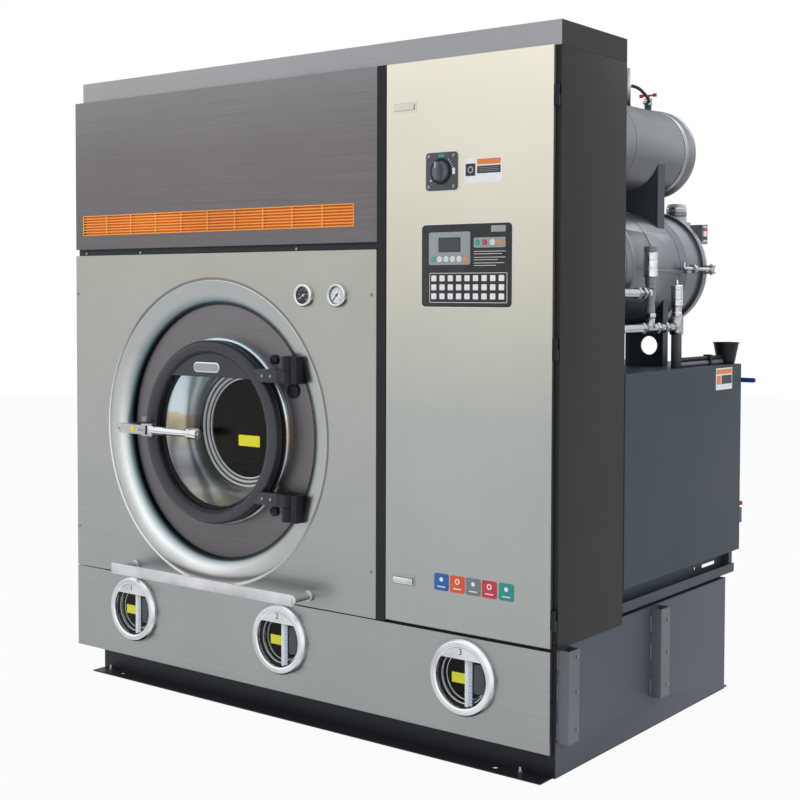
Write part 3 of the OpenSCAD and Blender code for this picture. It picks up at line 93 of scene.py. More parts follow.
# %% Camera
scene = bpy.context.scene
camera = bpy.data.objects.new("camera", bpy.data.cameras.new("camera"))
scene.collection.objects.link(camera)
right, up, back = (0.79837, 0.60216, 0.00325), (-0.02537, 0.02825, 0.99928), (0.60163, -0.79788, 0.03783)
turn = Matrix((right, up, back)).transposed().to_4x4()
camera.matrix_world = Matrix.Translation((2.8986, -3.7846, 1.3452)) @ turn
camera.data.sensor_width = 36
camera.data.lens = 61.426
camera.data.shift_x, camera.data.shift_y = -0.02204, -0.0663
camera.data.clip_end = 60
scene.camera = camera
print("camera at", tuple(round(v, 3) for v in camera.location))

# %% [markdown]
# Every finish, the sky and the floor are trees of nodes. Two small functions build them all: one fills the
# sockets of a node, with a number or with a link from another node's output, and one adds a node and fills
# it. Two more add a sum, on numbers or on vectors. A finish then reads as a list of what feeds what.

# %% Kit for node trees
def fill(tree, node, sockets):
    for key, value in sockets.items():
        if isinstance(value, bpy.types.NodeSocket):
            tree.links.new(value, node.inputs[key])
        else:
            node.inputs[key].default_value = value
    return node

def add_node(tree, kind, sockets={}, **settings):
    node = tree.nodes.new("ShaderNode" + kind)
    for key, value in settings.items():
        setattr(node, key, value)
    return fill(tree, node, sockets)

def maths(tree, how, *values):
    return add_node(tree, "Math", dict(enumerate(values)), operation=how).outputs[0]

def vectors(tree, how, *values):
    return add_node(tree, "VectorMath", dict(enumerate(values)), operation=how).outputs

print("kit ready")

# %% [markdown]
# The background is white for the camera and for reflections, and a softer grey for the light that falls on
# the machine. Three large area lamps do the modelling: a key from the front left, a fill from the right,
# and one above the rear unit. The floor is pale and keeps the machine's shadow.

# %% World
scene.view_settings.view_transform = "Standard"
world = scene.world = bpy.data.worlds.new("studio")
world.use_nodes = True
sky = world.node_tree
sky.nodes.clear()
ray = add_node(sky, "LightPath").outputs
seen = maths(sky, "MAXIMUM", ray["Is Camera Ray"], ray["Is Glossy Ray"])
seen = maths(sky, "MAXIMUM", seen, ray["Is Transmission Ray"])
soft = add_node(sky, "Background", {"Color": (0.93, 0.96, 1.0, 1), "Strength": 0.62})
white = add_node(sky, "Background", {"Color": (1, 1, 1, 1), "Strength": 1.0})
both = add_node(sky, "MixShader", {0: seen, 1: soft.outputs[0], 2: white.outputs[0]})
add_node(sky, "OutputWorld", {0: both.outputs[0]})
print("world ready")

# %% Lamps
def lamp(name, size, watts, at, towards, in_mirrors=False):
    data = bpy.data.lights.new(name, "AREA")
    data.shape, data.size, data.energy = "SQUARE", size, watts
    obj = bpy.data.objects.new(name, data)
    scene.collection.objects.link(obj)
    obj.location = at
    obj.rotation_euler = (Vector(towards) - Vector(at)).to_track_quat("-Z", "Y").to_euler()
    obj.visible_glossy = in_mirrors

lamp("key", 3.0, 95, (-3.2, -4.6, 3.6), (-0.2, 0, 1.1))
lamp("fill", 2.6, 28, (5.2, -1.0, 2.4), (0.6, 0, 1.0))
lamp("top", 2.6, 30, (1.4, 2.6, 4.4), (0.5, 0.2, 1.2), True)

# %% Floor
SEEN_SHARE = 0.93
floor_mesh = bpy.data.meshes.new("floor")
bm = bmesh.new()
bmesh.ops.create_circle(bm, cap_ends=True, segments=96, radius=14)
bm.to_mesh(floor_mesh)
bm.free()
floor = bpy.data.objects.new("floor", floor_mesh)
scene.collection.objects.link(floor)
floor.location.z = -0.001
floor_mat = bpy.data.materials.new("floor_pale")
floor_mat.use_nodes = True
tree = floor_mat.node_tree
matt = fill(tree, tree.nodes["Principled BSDF"], {"Base Color": (0.86, 0.86, 0.87, 1), "Roughness": 0.9})
ray = add_node(tree, "LightPath").outputs
mirrored = maths(tree, "MAXIMUM", ray["Is Glossy Ray"], ray["Is Transmission Ray"])
shown = maths(tree, "MAXIMUM", maths(tree, "MULTIPLY", ray["Is Camera Ray"], SEEN_SHARE), mirrored)
glow = add_node(tree, "Emission")
mixed = add_node(tree, "MixShader", {0: shown, 1: matt.outputs[0], 2: glow.outputs[0]})
fill(tree, tree.nodes["Material Output"], {0: mixed.outputs[0]})
floor_mesh.materials.append(floor_mat)

# %% [markdown]
# Colours are written as a paint card gives them, from 0 to 255, and Blender wants them linear.
# Every finish starts from the same small kit: a material with its shader, a noise that may be stretched,
# and three ways to use that noise, which are colour, roughness and relief.

# %% Kit for finishes
def rgb(r, g, b):
    def linear(v):
        v /= 255
        return v / 12.92 if v <= 0.04045 else ((v + 0.055) / 1.055) ** 2.4
    return (linear(r), linear(g), linear(b), 1.0)

def toned(colour, by):
    return tuple(min(1.0, v * by) for v in colour[:3]) + (1.0,)

def stops_of(*rows):
    return [(at, rgb(*colour)) for at, *colour in rows]

def start_finish(name, colour, metallic, roughness):
    mat = bpy.data.materials.new(name)
    mat.use_nodes = True
    tree = mat.node_tree
    sockets = {"Base Color": colour, "Metallic": metallic, "Roughness": roughness}
    skin = fill(tree, tree.nodes["Principled BSDF"], sockets)
    return tree, skin, add_node(tree, "TexCoord").outputs["Object"]

def noise(tree, where, scale, stretch=(1, 1, 1), detail=3.0):
    mapping = add_node(tree, "Mapping", {"Vector": where, "Scale": stretch})
    sockets = {"Vector": mapping.outputs["Vector"], "Scale": scale, "Detail": detail}
    return add_node(tree, "TexNoise", sockets).outputs["Fac"]

def between(tree, value, low, high, from_low=0.3, from_high=0.7):
    sockets = {"Value": value, "From Min": from_low, "From Max": from_high, "To Min": low, "To Max": high}
    return add_node(tree, "MapRange", sockets).outputs["Result"]

def along(tree, where, axis, low, high):
    return between(tree, add_node(tree, "SeparateXYZ", {0: where}).outputs[axis], 0, 1, low, high)

def blend_colours(tree, factor, first, second, how="MIX"):
    mix = add_node(tree, "Mix", data_type="RGBA", blend_type=how)
    return fill(tree, mix, {0: factor, 6: first, 7: second}).outputs[2]

def ramp_of(tree, factor, stops):
    ramp = add_node(tree, "ValToRGB", {0: factor})
    elements = ramp.color_ramp.elements
    while len(elements) < len(stops):
        elements.new(0.5)
    for element, (at, colour) in zip(elements, stops):
        element.position, element.color = at, colour
    return ramp.outputs[0]

def relief(tree, skin, height, strength, distance):
    bump = add_node(tree, "Bump", {"Height": height, "Strength": strength, "Distance": distance})
    fill(tree, skin, {"Normal": bump.outputs["Normal"]})

def make_all(maker, *rows):
    for name, colour, *surface in rows:
        maker(name, rgb(*colour), *surface)

print("warm white is", rgb(240, 234, 216))

# %% [markdown]
# The front panels are brushed stainless sheet. Brushing leaves fine parallel scratches, so the noise is
# stretched hard along one direction and drives the colour, the roughness and a very low relief together.
# A sheet that tall also reflects a slow change of light from what stands around it, and that light is painted into each
# one as a colour ramp along its height or width.

# %% Brushed sheet
def brushed(name, axis, low, high, grain, rough, metallic, *rows):
    stops = stops_of(*rows)
    tree, skin, where = start_finish(name, stops[0][1], metallic, rough)
    # painted light: the sheet's colour ramps along its height or width
    painted_light_ramp = ramp_of(tree, along(tree, where, axis, low, high), stops)
    streaks = noise(tree, where, 1.0, grain, 4.0)
    clouds = noise(tree, where, 1.7, (1, 1, 1), 2.0)
    darker = blend_colours(tree, between(tree, clouds, 0.0, 0.10), painted_light_ramp, rgb(70, 72, 76))
    lined = blend_colours(tree, between(tree, streaks, 0.0, 0.09), darker, rgb(236, 238, 238))
    fill(tree, skin, {"Base Color": lined, "Roughness": between(tree, streaks, rough - 0.05, rough + 0.07)})
    relief(tree, skin, streaks, 0.035, 0.0004)

ACROSS, UPRIGHT = (1.5, 40, 620), (620, 40, 1.5)
# The stops are painted light: most sheets lighter towards the top, the cabinet door near cream at its top.
brushed("panel_steel", "Z", 0.07, 1.48, ACROSS, 0.36, 1.0,
        (0.0, 150, 154, 155), (0.45, 163, 167, 166), (1.0, 179, 178, 170))
brushed("cabinet_door_sheet", "Z", 0.36, 2.03, UPRIGHT, 0.36, 1.0,
        (0.0, 163, 167, 166), (0.38, 172, 176, 172), (0.62, 208, 205, 190), (1.0, 246, 241, 224))
brushed("dark_sheet", "Z", 1.50, 2.03, ACROSS, 0.38, 1.0,
        (0.0, 106, 101, 105), (0.6, 116, 111, 115), (1.0, 134, 131, 133))
brushed("disc_sheet", "Z", 0.4, 1.4, ACROSS, 0.40, 1.0, (0.0, 92, 90, 93), (1.0, 122, 117, 121))
brushed("cap_sheet", "X", -1.05, 0.95, ACROSS, 0.40, 0.75, (0.0, 166, 166, 168), (1.0, 160, 160, 165))
print("brushed finishes ready")

# %% [markdown]
# The casings are powder coated: a thin baked plastic skin with a faint orange peel. It is not metal to the
# eye, so metallic stays at zero, and the relief is a fine noise. Slow clouds in the colour and the roughness
# keep a large flat side from looking like card. With a little metallic the same skin makes painted castings,
# and with its own roughness and peel it makes moulded plastic and rubber.

# %% Powder coat, plastic and rubber
def coated(name, colour, rough, peel=0.10, metallic=0.0):
    tree, skin, where = start_finish(name, colour, metallic, rough)
    clouds, grit = noise(tree, where, 2.3, (1, 1, 1), 4.0), noise(tree, where, 480, (1, 1, 1), 1.0)
    cloudy = blend_colours(tree, between(tree, clouds, 0, 1), toned(colour, 0.86), toned(colour, 1.12))
    fill(tree, skin, {"Specular IOR Level": 0.25, "Base Color": cloudy,
                      "Roughness": between(tree, clouds, rough - 0.05, rough + 0.06)})
    relief(tree, skin, grit, peel, 0.0004)

make_all(coated, ("cabinet_coat", (39, 39, 40), 0.50), ("strip_coat", (28, 31, 34), 0.42),
         ("shell_coat", (52, 54, 58), 0.50), ("base_coat", (80, 85, 95), 0.48),
         ("foot_coat", (30, 31, 37), 0.42), ("rear_coat", (48, 62, 72), 0.46),
         ("deck_coat", (66, 75, 83), 0.48), ("bracket_coat", (70, 77, 85), 0.46),
         ("motor_blue", (47, 74, 102), 0.42), ("bearing_coat", (60, 64, 69), 0.5),
         ("knob_grey", (106, 110, 118), 0.40, 0.06), ("switch_grey", (84, 89, 95), 0.40, 0.06),
         ("orange_coat", (255, 172, 84), 0.42, 0.05), ("pan_orange", (250, 128, 38), 0.45, 0.03),
         ("red_coat", (206, 36, 48), 0.35, 0.05), ("blue_coat", (28, 76, 160), 0.35, 0.05))
# The near white edge finish is a painted highlight for the cabinet door's front bevel.
make_all(coated, ("pipe_paint", (112, 115, 120), 0.36, 0.05, 0.3), ("rail_coat", (104, 107, 113), 0.36, 0.05, 0.3),
         ("valve_grey", (132, 137, 146), 0.34, 0.05, 0.4), ("edge_bright", (250, 248, 240), 0.3, 0.02, 0.3),
         ("tank_steel", (148, 151, 154), 0.36, 0.06, 0.65), ("ring_metal", (72, 74, 78), 0.30, 0.03, 0.6))
make_all(coated, ("black_plastic", (24, 25, 28), 0.42, 0.05), ("hinge_black", (26, 28, 36), 0.38, 0.05),
         ("cream_plastic", (238, 232, 216), 0.42, 0.05), ("key_white", (250, 251, 252), 0.38, 0.05),
         ("key_green", (52, 176, 136), 0.36, 0.05), ("key_red", (196, 60, 74), 0.36, 0.05),
         ("key_orange", (240, 152, 60), 0.36, 0.05), ("rubber", (20, 21, 23), 0.68, 0.2),
         ("belt_rubber", (28, 28, 30), 0.75, 0.3), ("hose_rubber", (22, 24, 26), 0.5, 0.1))
print("coated finishes ready")

# %% [markdown]
# A round shiny thing shows its room as long bands, because each strip of its surface faces another way.
# Every new piece stores the direction that each corner faces as its own attribute. The finish paints that direction as
# light and dark bands, which are painted reflections, so that the bands stay on the piece from every side.

# %% Painted reflection bands by the way a surface faces
UP_AND_FRONT, UP_AND_RIGHT = (0.30, -0.42, 0.86), (0.42, -0.25, 0.87)

def banded(tree, where, stops, towards=UP_AND_FRONT, ripple=0.05):
    facing = add_node(tree, "Attribute", attribute_name="facing").outputs["Vector"]
    lean = between(tree, vectors(tree, "DOT_PRODUCT", facing, towards)["Value"], 0, 1, -1, 1)
    waves = between(tree, noise(tree, where, 6), -ripple, ripple)
    # painted reflection: colour ramp by how far the surface faces the given direction
    return ramp_of(tree, maths(tree, "ADD", lean, waves), stops)

def metal_bands(tree, where, light, middle, dark):
    return banded(tree, where, [(0.05, middle), (0.22, dark), (0.44, dark), (0.54, light), (0.66, middle),
                                (0.80, light), (0.97, light)])

# %% [markdown]
# The vessels carry a silky grey paint with a clear coat, and its long highlights and shade are painted into its colour
# by the way each spot faces. The pipes are zinc plated steel: metal, a little blotchy, with the spangle that plating
# leaves, and with painted reflection bands.

# %% Vessel paint and plated pipe
def vessel_paint(name, colour):
    tree, skin, where = start_finish(name, colour, 0.45, 0.36)
    light, dark = toned(colour, 2.2), toned(colour, 0.42)
    clouds, grit = noise(tree, where, 2.6, (1, 1, 1), 4.0), noise(tree, where, 420, (1, 1, 1), 1.0)
    # painted highlight and shade: lighter where the paint faces up and right, darker where it faces away
    painted_reflections = banded(tree, where, [(0.0, colour), (0.20, dark), (0.42, colour), (0.62, colour), (0.80, light),
                                 (0.92, light), (1.0, colour)], UP_AND_RIGHT, 0.02)
    fill(tree, skin, {"Base Color": blend_colours(tree, between(tree, clouds, 0, 0.16), painted_reflections, dark),
                      "Roughness": between(tree, clouds, 0.30, 0.42), "Coat Weight": 0.25, "Coat Roughness": 0.18})
    relief(tree, skin, grit, 0.05, 0.0004)

def plated(name, colour, rough=0.26, blotch=22):
    tree, skin, where = start_finish(name, colour, 1.0, rough)
    spangle, fine = noise(tree, where, blotch, (1, 1, 1), 3.0), noise(tree, where, 300, (1, 1, 1), 1.0)
    dark = toned(colour, 0.26)
    # painted reflection: light and dark bands by the way the plating faces, under the real spangle
    painted_reflections = metal_bands(tree, where, toned(colour, 1.42), toned(colour, 0.75), dark)
    fill(tree, skin, {"Base Color": blend_colours(tree, between(tree, spangle, 0, 0.22), painted_reflections, dark),
                      "Roughness": between(tree, spangle, rough - 0.06, rough + 0.12)})
    relief(tree, skin, fine, 0.04, 0.0003)

make_all(vessel_paint, ("vessel_grey", (112, 115, 119)), ("still_grey", (94, 99, 104)), ("rim_grey", (128, 132, 136)))
make_all(plated, ("zinc_plated", (176, 180, 184)), ("bright_zinc", (206, 208, 210), 0.2),
         ("cast_alloy", (186, 188, 190), 0.32, 60), ("dark_steel", (78, 80, 84), 0.34, 30),
         ("bolt_steel", (150, 152, 155), 0.3, 90))
print("vessel and pipe finishes ready")

# %% [markdown]
# The lever and the gauge rims are polished chrome, and the sight rings and the guard bar are duller. Their reflections
# are painted into the colour as light and dark bands. Real chrome is never perfectly clean: wide smears change its
# roughness a little, and that breaks up its reflections.

# %% Chrome
def polished(name, colour, rough=0.07, depth=0.16):
    tree, skin, where = start_finish(name, colour, 1.0, rough)
    smears, dark = noise(tree, where, 9, (1, 1, 2.5), 3.0), toned(colour, depth)
    # painted reflection: light and dark bands by the way the chrome faces
    painted_reflections = metal_bands(tree, where, toned(colour, 1.35), toned(colour, 0.7), dark)
    fill(tree, skin, {"Base Color": blend_colours(tree, between(tree, smears, 0, 0.14), painted_reflections, dark),
                      "Roughness": between(tree, smears, rough * 0.5, rough * 1.9)})
    relief(tree, skin, noise(tree, where, 14), 0.03, 0.002)

make_all(polished, ("chrome", (214, 215, 217)), ("silver_ring", (218, 222, 226), 0.24, 0.45),
         ("bar_steel", (200, 202, 205), 0.24, 0.15))
print("chrome ready")

# %% [markdown]
# Labels, dials and keys are print on foil, a little faded in flecks. The glass is a mix of a clear shader and
# a mirror by the angle of view, so lamps still reach what is behind it.

# %% Print and glass
def printed(name, colour, rough=0.5):
    tree, skin, where = start_finish(name, colour, 0.0, rough)
    fleck = noise(tree, where, 60, (1, 1, 1), 2.0)
    faded = tuple(min(1.0, v * 0.92 + 0.01) for v in colour[:3]) + (1.0,)
    fill(tree, skin, {"Base Color": blend_colours(tree, between(tree, fleck, 0, 1), faded, colour),
                      "Roughness": between(tree, fleck, rough - 0.06, rough + 0.06)})

EDGE_POWER, EDGE_SHARE, FLAT_SHARE = 4.0, 0.40, 0.008

def clear_glass(name, tint):
    mat = bpy.data.materials.new(name)
    mat.use_nodes = True
    tree = mat.node_tree
    tree.nodes.remove(tree.nodes["Principled BSDF"])
    steep = maths(tree, "POWER", add_node(tree, "LayerWeight").outputs["Facing"], EDGE_POWER)
    share = maths(tree, "MULTIPLY_ADD", steep, EDGE_SHARE, FLAT_SHARE)
    film = noise(tree, add_node(tree, "TexCoord").outputs["Object"], 5, (1, 1, 3), 3.0)
    clear = add_node(tree, "BsdfTransparent", {"Color": tint}).outputs[0]
    mirror = add_node(tree, "BsdfGlossy", {"Roughness": between(tree, film, 0.01, 0.07)}).outputs[0]
    mix = add_node(tree, "MixShader", {0: share, 1: clear, 2: mirror})
    fill(tree, tree.nodes["Material Output"], {0: mix.outputs[0]})

make_all(printed, ("display_grey", (158, 166, 168)), ("screen_dark", (62, 66, 70), 0.24),
         ("panel_black", (25, 27, 31), 0.38), ("foil_white", (250, 250, 249)), ("foil_yellow", (240, 232, 24)),
         ("foil_orange", (240, 140, 62)), ("foil_dark", (46, 46, 52)), ("foil_grey", (164, 171, 172)),
         ("foil_red", (206, 54, 66)), ("tile_blue", (32, 96, 176), 0.35), ("tile_orange", (236, 84, 40), 0.35),
         ("tile_grey", (118, 128, 136), 0.35), ("tile_teal", (26, 148, 142), 0.35),
         ("needle_white", (236, 236, 236)), ("needle_black", (26, 26, 28)), ("scale_blue", (206, 218, 232)),
         ("float_grey", (58, 62, 68)))
clear_glass("door_glass_clear", (0.97, 0.98, 0.98, 1))
clear_glass("small_glass_clear", (0.98, 0.99, 0.99, 1))
print("materials so far:", len(bpy.data.materials))

# %% [markdown]
# New pieces are shaped with mesh operators. Three makers cover nearly all of them: a box whose edges are
# bevelled, a plate with round corners, and a profile spun round an axis. Each works on an open mesh, so
# several parts can make one piece, each with its own finish.

# %% Makers for boxes and plates
def fresh(bm, before, slot):
    for face in bm.faces:
        if face not in before:
            face.material_index = slot

def bevel_edges(bm, edges, width, segments=2, clamp=False):
    bmesh.ops.bevel(bm, geom=list(edges), offset=width, affect="EDGES", segments=segments, profile=0.5,
                    material=-1, clamp_overlap=clamp)

def add_block(bm, low, high):
    a, b = place(*low), place(*high)
    verts = bmesh.ops.create_cube(bm, size=1)["verts"]
    bmesh.ops.scale(bm, vec=b - a, verts=verts)
    bmesh.ops.translate(bm, vec=(a + b) / 2, verts=verts)
    return {e for v in verts for e in v.link_edges}

def runs_back(edge):
    return abs((edge.verts[0].co - edge.verts[1].co).normalized().y) > 0.9

def add_box(bm, low, high, bevel=1.0, slot=0, segments=2):
    before = set(bm.faces)
    edges = add_block(bm, low, high)
    if bevel:
        bevel_edges(bm, edges, bevel / 1000, segments, True)
    fresh(bm, before, slot)

def add_plate(bm, x0, x1, z0, z1, y0, y1, corner, slot=0, bevel=0.4):
    before = set(bm.faces)
    edges = add_block(bm, (x0, y0, z0), (x1, y1, z1))
    bevel_edges(bm, [e for e in edges if runs_back(e)], corner / 1000, 6)
    if bevel:
        made = {e for f in set(bm.faces) - before for e in f.edges}
        bevel_edges(bm, [e for e in made if all(abs(v.co.y - at_y(y0)) < 1e-6 for v in e.verts)], bevel / 1000)
    fresh(bm, before, slot)

def add_box_at_angle(bm, x, z, degrees, low, high, slot):
    before = set(bm.verts)
    add_box(bm, low, high, 0, slot)
    made = [v for v in bm.verts if v not in before]
    bmesh.ops.rotate(bm, verts=made, cent=place(x, 0, z), matrix=Matrix.Rotation(math.radians(degrees), 3, "Y"))

# %% Makers for turned parts
AXES = {"x": (Vector((1, 0, 0)), Vector((0, 0, 1))), "y": (Vector((0, 1, 0)), Vector((1, 0, 0))),
        "z": (Vector((0, 0, 1)), Vector((1, 0, 0)))}

def add_turned(bm, centre, profile, axis="y", slot=0, steps=96):
    before = set(bm.faces)
    along_axis, out = AXES[axis]
    base = place(*centre)
    verts = [bm.verts.new(base + out * (r / 1000) + along_axis * (h / 1000)) for r, h in profile]
    edges = [bm.edges.new(pair) for pair in zip(verts, verts[1:] + verts[:1])]
    bmesh.ops.spin(bm, geom=verts + edges, cent=base, axis=along_axis, dvec=(0, 0, 0), angle=2 * math.pi,
                   steps=steps, use_merge=True, use_duplicate=False)
    near = list({v for f in bm.faces if f not in before for v in f.verts})
    bmesh.ops.remove_doubles(bm, verts=near, dist=2e-6)
    bmesh.ops.recalc_face_normals(bm, faces=[f for f in bm.faces if f not in before])
    fresh(bm, before, slot)

def hoop(r0, r1, h0, h1):
    """Profile of a plain ring, or of a disc when r0 is 0."""
    return [(r0, h0), (r1, h0), (r1, h1), (r0, h1)]

def button(flat, full, top, shoulder, foot):
    """Profile of a round head whose rim slopes from the flat radius to the full one."""
    return [(0, top), (flat, top), (full, shoulder), (full, foot), (0, foot)]

def rounded(corners, radius, steps=5):
    """Profile points with each corner cut to an arc of about that radius."""
    points = []
    count = len(corners)
    for i, here in enumerate(corners):
        here = Vector(here)
        before, after = Vector(corners[i - 1]) - here, Vector(corners[(i + 1) % count]) - here
        reach = min(radius, before.length * 0.45, after.length * 0.45)
        a, b = here + before.normalized() * reach, here + after.normalized() * reach
        for k in range(steps + 1):
            t = k / steps
            points.append(tuple(a * (1 - t) ** 2 + here * 2 * t * (1 - t) + b * t * t))
    return points

def keep_above(bm, x, z):
    cut = bmesh.ops.bisect_plane(bm, geom=bm.verts[:] + bm.edges[:] + bm.faces[:], dist=1e-6,
                                 plane_co=place(x, 0, z), plane_no=(0, 0, -1), clear_outer=True)
    bmesh.ops.contextual_create(bm, geom=[e for e in cut["geom_cut"] if isinstance(e, bmesh.types.BMEdge)])

# %% Finished pieces
def piece(name, bm, body, finishes, smooth=35):
    mesh = bpy.data.meshes.new(name)
    bm.to_mesh(mesh)
    bm.free()
    mesh.shade_smooth()
    mesh.set_sharp_from_angle(angle=math.radians(smooth))
    for finish in finishes.split():
        mesh.materials.append(bpy.data.materials[finish])
    facing = mesh.attributes.new("facing", "FLOAT_VECTOR", "CORNER")
    facing.data.foreach_set("vector", [part for n in mesh.corner_normals for part in n.vector])
    obj = bpy.data.objects.new(name, mesh)
    scene.collection.objects.link(obj)
    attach(obj, body)
    print(f"{name}: {len(mesh.polygons)} faces on {body}")
    return obj

# %% [markdown]
# Many sheet and block parts have the right shape already, and only their edges are too keen: a real folded
# or sawn edge is a little round and draws a thin line of light. For those, a copy of the CAD mesh is merged,
# its flat triangles are dissolved into whole faces, and its sharp edges get a small bevel. The copy then
# stands for the node.

# %% Copies with eased edges
def eased(node, finishes, width=0.8, sharp=38, smooth=20, up_to=math.inf):
    source = nodes[node]
    bm = bmesh.new()
    bm.from_mesh(source.data)
    bmesh.ops.remove_doubles(bm, verts=bm.verts, dist=2e-6)
    bmesh.ops.dissolve_limit(bm, angle_limit=math.radians(0.4), verts=bm.verts, edges=bm.edges)
    keen = [e for e in bm.edges if len(e.link_faces) == 2 and e.calc_face_angle(0) > math.radians(sharp)
            and max(v.co.y for v in e.verts) < up_to]
    if width:
        bevel_edges(bm, keen, width / 1000, 2, True)
    bmesh.ops.triangulate(bm, faces=[f for f in bm.faces if len(f.verts) > 4])
    obj = piece(node + "_eased", bm, source["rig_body"], finishes, smooth)
    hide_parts(node)

print("makers ready")

# %% [markdown]
# The plain nodes and those deep inside keep their CAD shape and only get a finish.

# %% Finishes for CAD nodes
PLAIN = {"foot_coat": "base_frame", "tank_steel": "solvent_tanks drum_housing", "bolt_steel": "door_keeper",
         "deck_coat": "deck_frame", "shell_coat": "body_shell", "disc_sheet": "front_plate",
         "zinc_plated": "drum_shaft air_fan", "bearing_coat": "bearing_pedestal",
         "dark_steel": "drum_pulley motor_pulley", "belt_rubber": "drive_belt",
         "motor_blue": "drive_motor fan_motor", "door_glass_clear": "door_glass",
         "small_glass_clear": "sight_glasses", "rubber": "door_seal", "hinge_black": "cabinet_hinges",
         "needle_white": "thermometer_needle", "needle_black": "pressure_needle",
         "red_coat": "red_valve_handle drain_knob", "blue_coat": "blue_valve_handle",
         "black_plastic": "fill_funnel", "hose_rubber": "hoses"}
for finish, names in PLAIN.items():
    for name in names.split():
        slots = nodes[name].data.materials
        slots.clear()
        slots.append(bpy.data.materials[finish])
print("nodes with a finish:", sum(bool(o.data.materials) for o in nodes.values()))

# %% [markdown]
# The tank panel, the upper panel, the cabinet and the casings are folded sheet. They are copies with eased
# edges, so that their rims catch the light as in the photograph.

# %% Sheet panels
DOOR_FACE_Y = at_y(0.5)
eased("tank_front_panel", "panel_steel", 0.9)
eased("lint_panel", "dark_sheet", 0.9, sharp=15)
eased("cabinet_door", "cabinet_door_sheet hinge_black edge_bright", 1.4, up_to=DOOR_FACE_Y)
eased("top_cap", "cap_sheet cabinet_coat", 1.2)
eased("cabinet", "cabinet_coat strip_coat", 1.2)
eased("base_walls", "base_coat rail_coat", 1.0)
eased("rear_casing", "rear_coat", 2.5)
eased("vessel_brackets", "bracket_coat", 0.8)
eased("air_grille", "orange_coat", 0.3)
for name in ("hinge_blocks", "hinge_knuckles"):
    eased(name, "hinge_black", 1.5)
eased("still_motor", "rim_grey", 1.0)
eased("panel_bolts", "bolt_steel hinge_black", 0.3)

# %% [markdown]
# The vessels and the pipes are copies too, nearly all with no bevel. They carry the direction each spot faces, which
# their finishes turn into long light and dark bands of painted reflection, as a round shiny thing shows.

# %% Vessels and pipes
eased("condenser_tank", "vessel_grey", 0, smooth=30)
eased("still_vessel", "still_grey", 0, smooth=30)
eased("still_door", "rim_grey", 0.8, smooth=30)
eased("still_clamp", "cast_alloy", 0.5, smooth=30)
eased("pipework", "zinc_plated pipe_paint", 0, smooth=30)

# %% [markdown]
# Six of the copies wear two or three finishes, told apart by where a face lies and which way it looks. The cabinet door
# has black knuckles, and a highlight painted near white on the bevel of its folded front edge. The cap's sides and back
# are as dark as the casing, the strip beside the door is a blacker coat, and the bolts near the loading door's hinges
# are black.

# %% Finishes by place
KNUCKLES_X, RAIL_X, STRIP_X, STRIP_Y = at_x(2014.5), at_x(2026), at_x(1440), at_y(16)
FOLD_REACH = 0.0015
LOW_PIPES_Z, REAR_PIPES_Y, LEFT_PIPES_X, VENT_Z = 1.218, at_y(780), at_x(1830), 2.0
HINGE_X, HINGE_RISE, HINGE_REACH = at_x(1030), 0.2, 0.14

def slot_on_door(at, facing):
    # painted highlight: bevel faces at the door's front edge get the near white finish
    painted_fold_highlight = 0.15 < -facing.y < 0.97 and abs(at.y - DOOR_FACE_Y) < FOLD_REACH
    return 1 if at.x > KNUCKLES_X else 2 if painted_fold_highlight else 0

def painted_pipe(at, facing):
    return (at.z < LOW_PIPES_Z and at.y > REAR_PIPES_Y or at.x < LEFT_PIPES_X) and at.z < VENT_Z

def near_hinge(at, facing):
    rise = abs(abs(at.z - DRUM_Z / 1000) - HINGE_RISE)
    return abs(at.x - HINGE_X) < HINGE_REACH and rise < HINGE_REACH

for name, slot_of in (("cabinet_door", slot_on_door), ("pipework", painted_pipe), ("panel_bolts", near_hinge),
                      ("base_walls", lambda at, facing: at.x > RAIL_X),
                      ("top_cap", lambda at, facing: not facing.y < -0.5),
                      ("cabinet", lambda at, facing: at.x < STRIP_X and at.y < STRIP_Y)):
    for face in bpy.data.objects[name + "_eased"].data.polygons:
        face.material_index = int(slot_of(face.center, face.normal))
for face in bpy.data.objects["cabinet_door_eased"].data.polygons:
    face.use_smooth = face.center.x > KNUCKLES_X

# %% [markdown]
# The door panel is one sheet with a round hole, pressed back around the hole into a smooth rim. The sheet is drawn as a
# rectangle with three round holes and filled, and the rim is a quarter ellipse spun round the drum's axis. The rim's
# front edge carries a fine pressed bead, with a painted highlight that makes it a thin bright circle on the lower left.

# %% Finishes of the pressed rim
tree, skin, where = start_finish("pressed_rim", rgb(170, 173, 171), 1.0, 0.30)
# painted reflection and shade: bright bands by the way the rim faces, then bluish and near black shade painted deeper
# into the hole
rim_reflection = banded(tree, where, stops_of((0.0, 120, 132, 138), (0.45, 168, 174, 175), (0.645, 172, 176, 174),
                                     (0.71, 196, 199, 198), (0.80, 250, 254, 255), (0.85, 244, 252, 255),
                                     (1.0, 196, 208, 214)), (0.62, -0.28, 0.73), 0.015)
rim_shade_from, rim_shade_deepest = along(tree, where, "Y", at_y(9), at_y(26)), along(tree, where, "Y", at_y(24), at_y(43))
rim_reflection_shading = blend_colours(tree, rim_shade_from, rim_reflection, rgb(96, 114, 121))
fill(tree, skin, {"Base Color": blend_colours(tree, rim_shade_deepest, rim_reflection_shading, rgb(18, 24, 29))})
relief(tree, skin, noise(tree, where, 1.0, ACROSS, 3.0), 0.03, 0.0004)

tree, skin, where = start_finish("pressed_bead", rgb(250, 250, 250), 0.15, 0.3)
BEAD_LIGHT = (-0.60, 0, -0.80)
middle = BEAD_LIGHT[0] * place(*DRUM).x + BEAD_LIGHT[2] * place(*DRUM).z
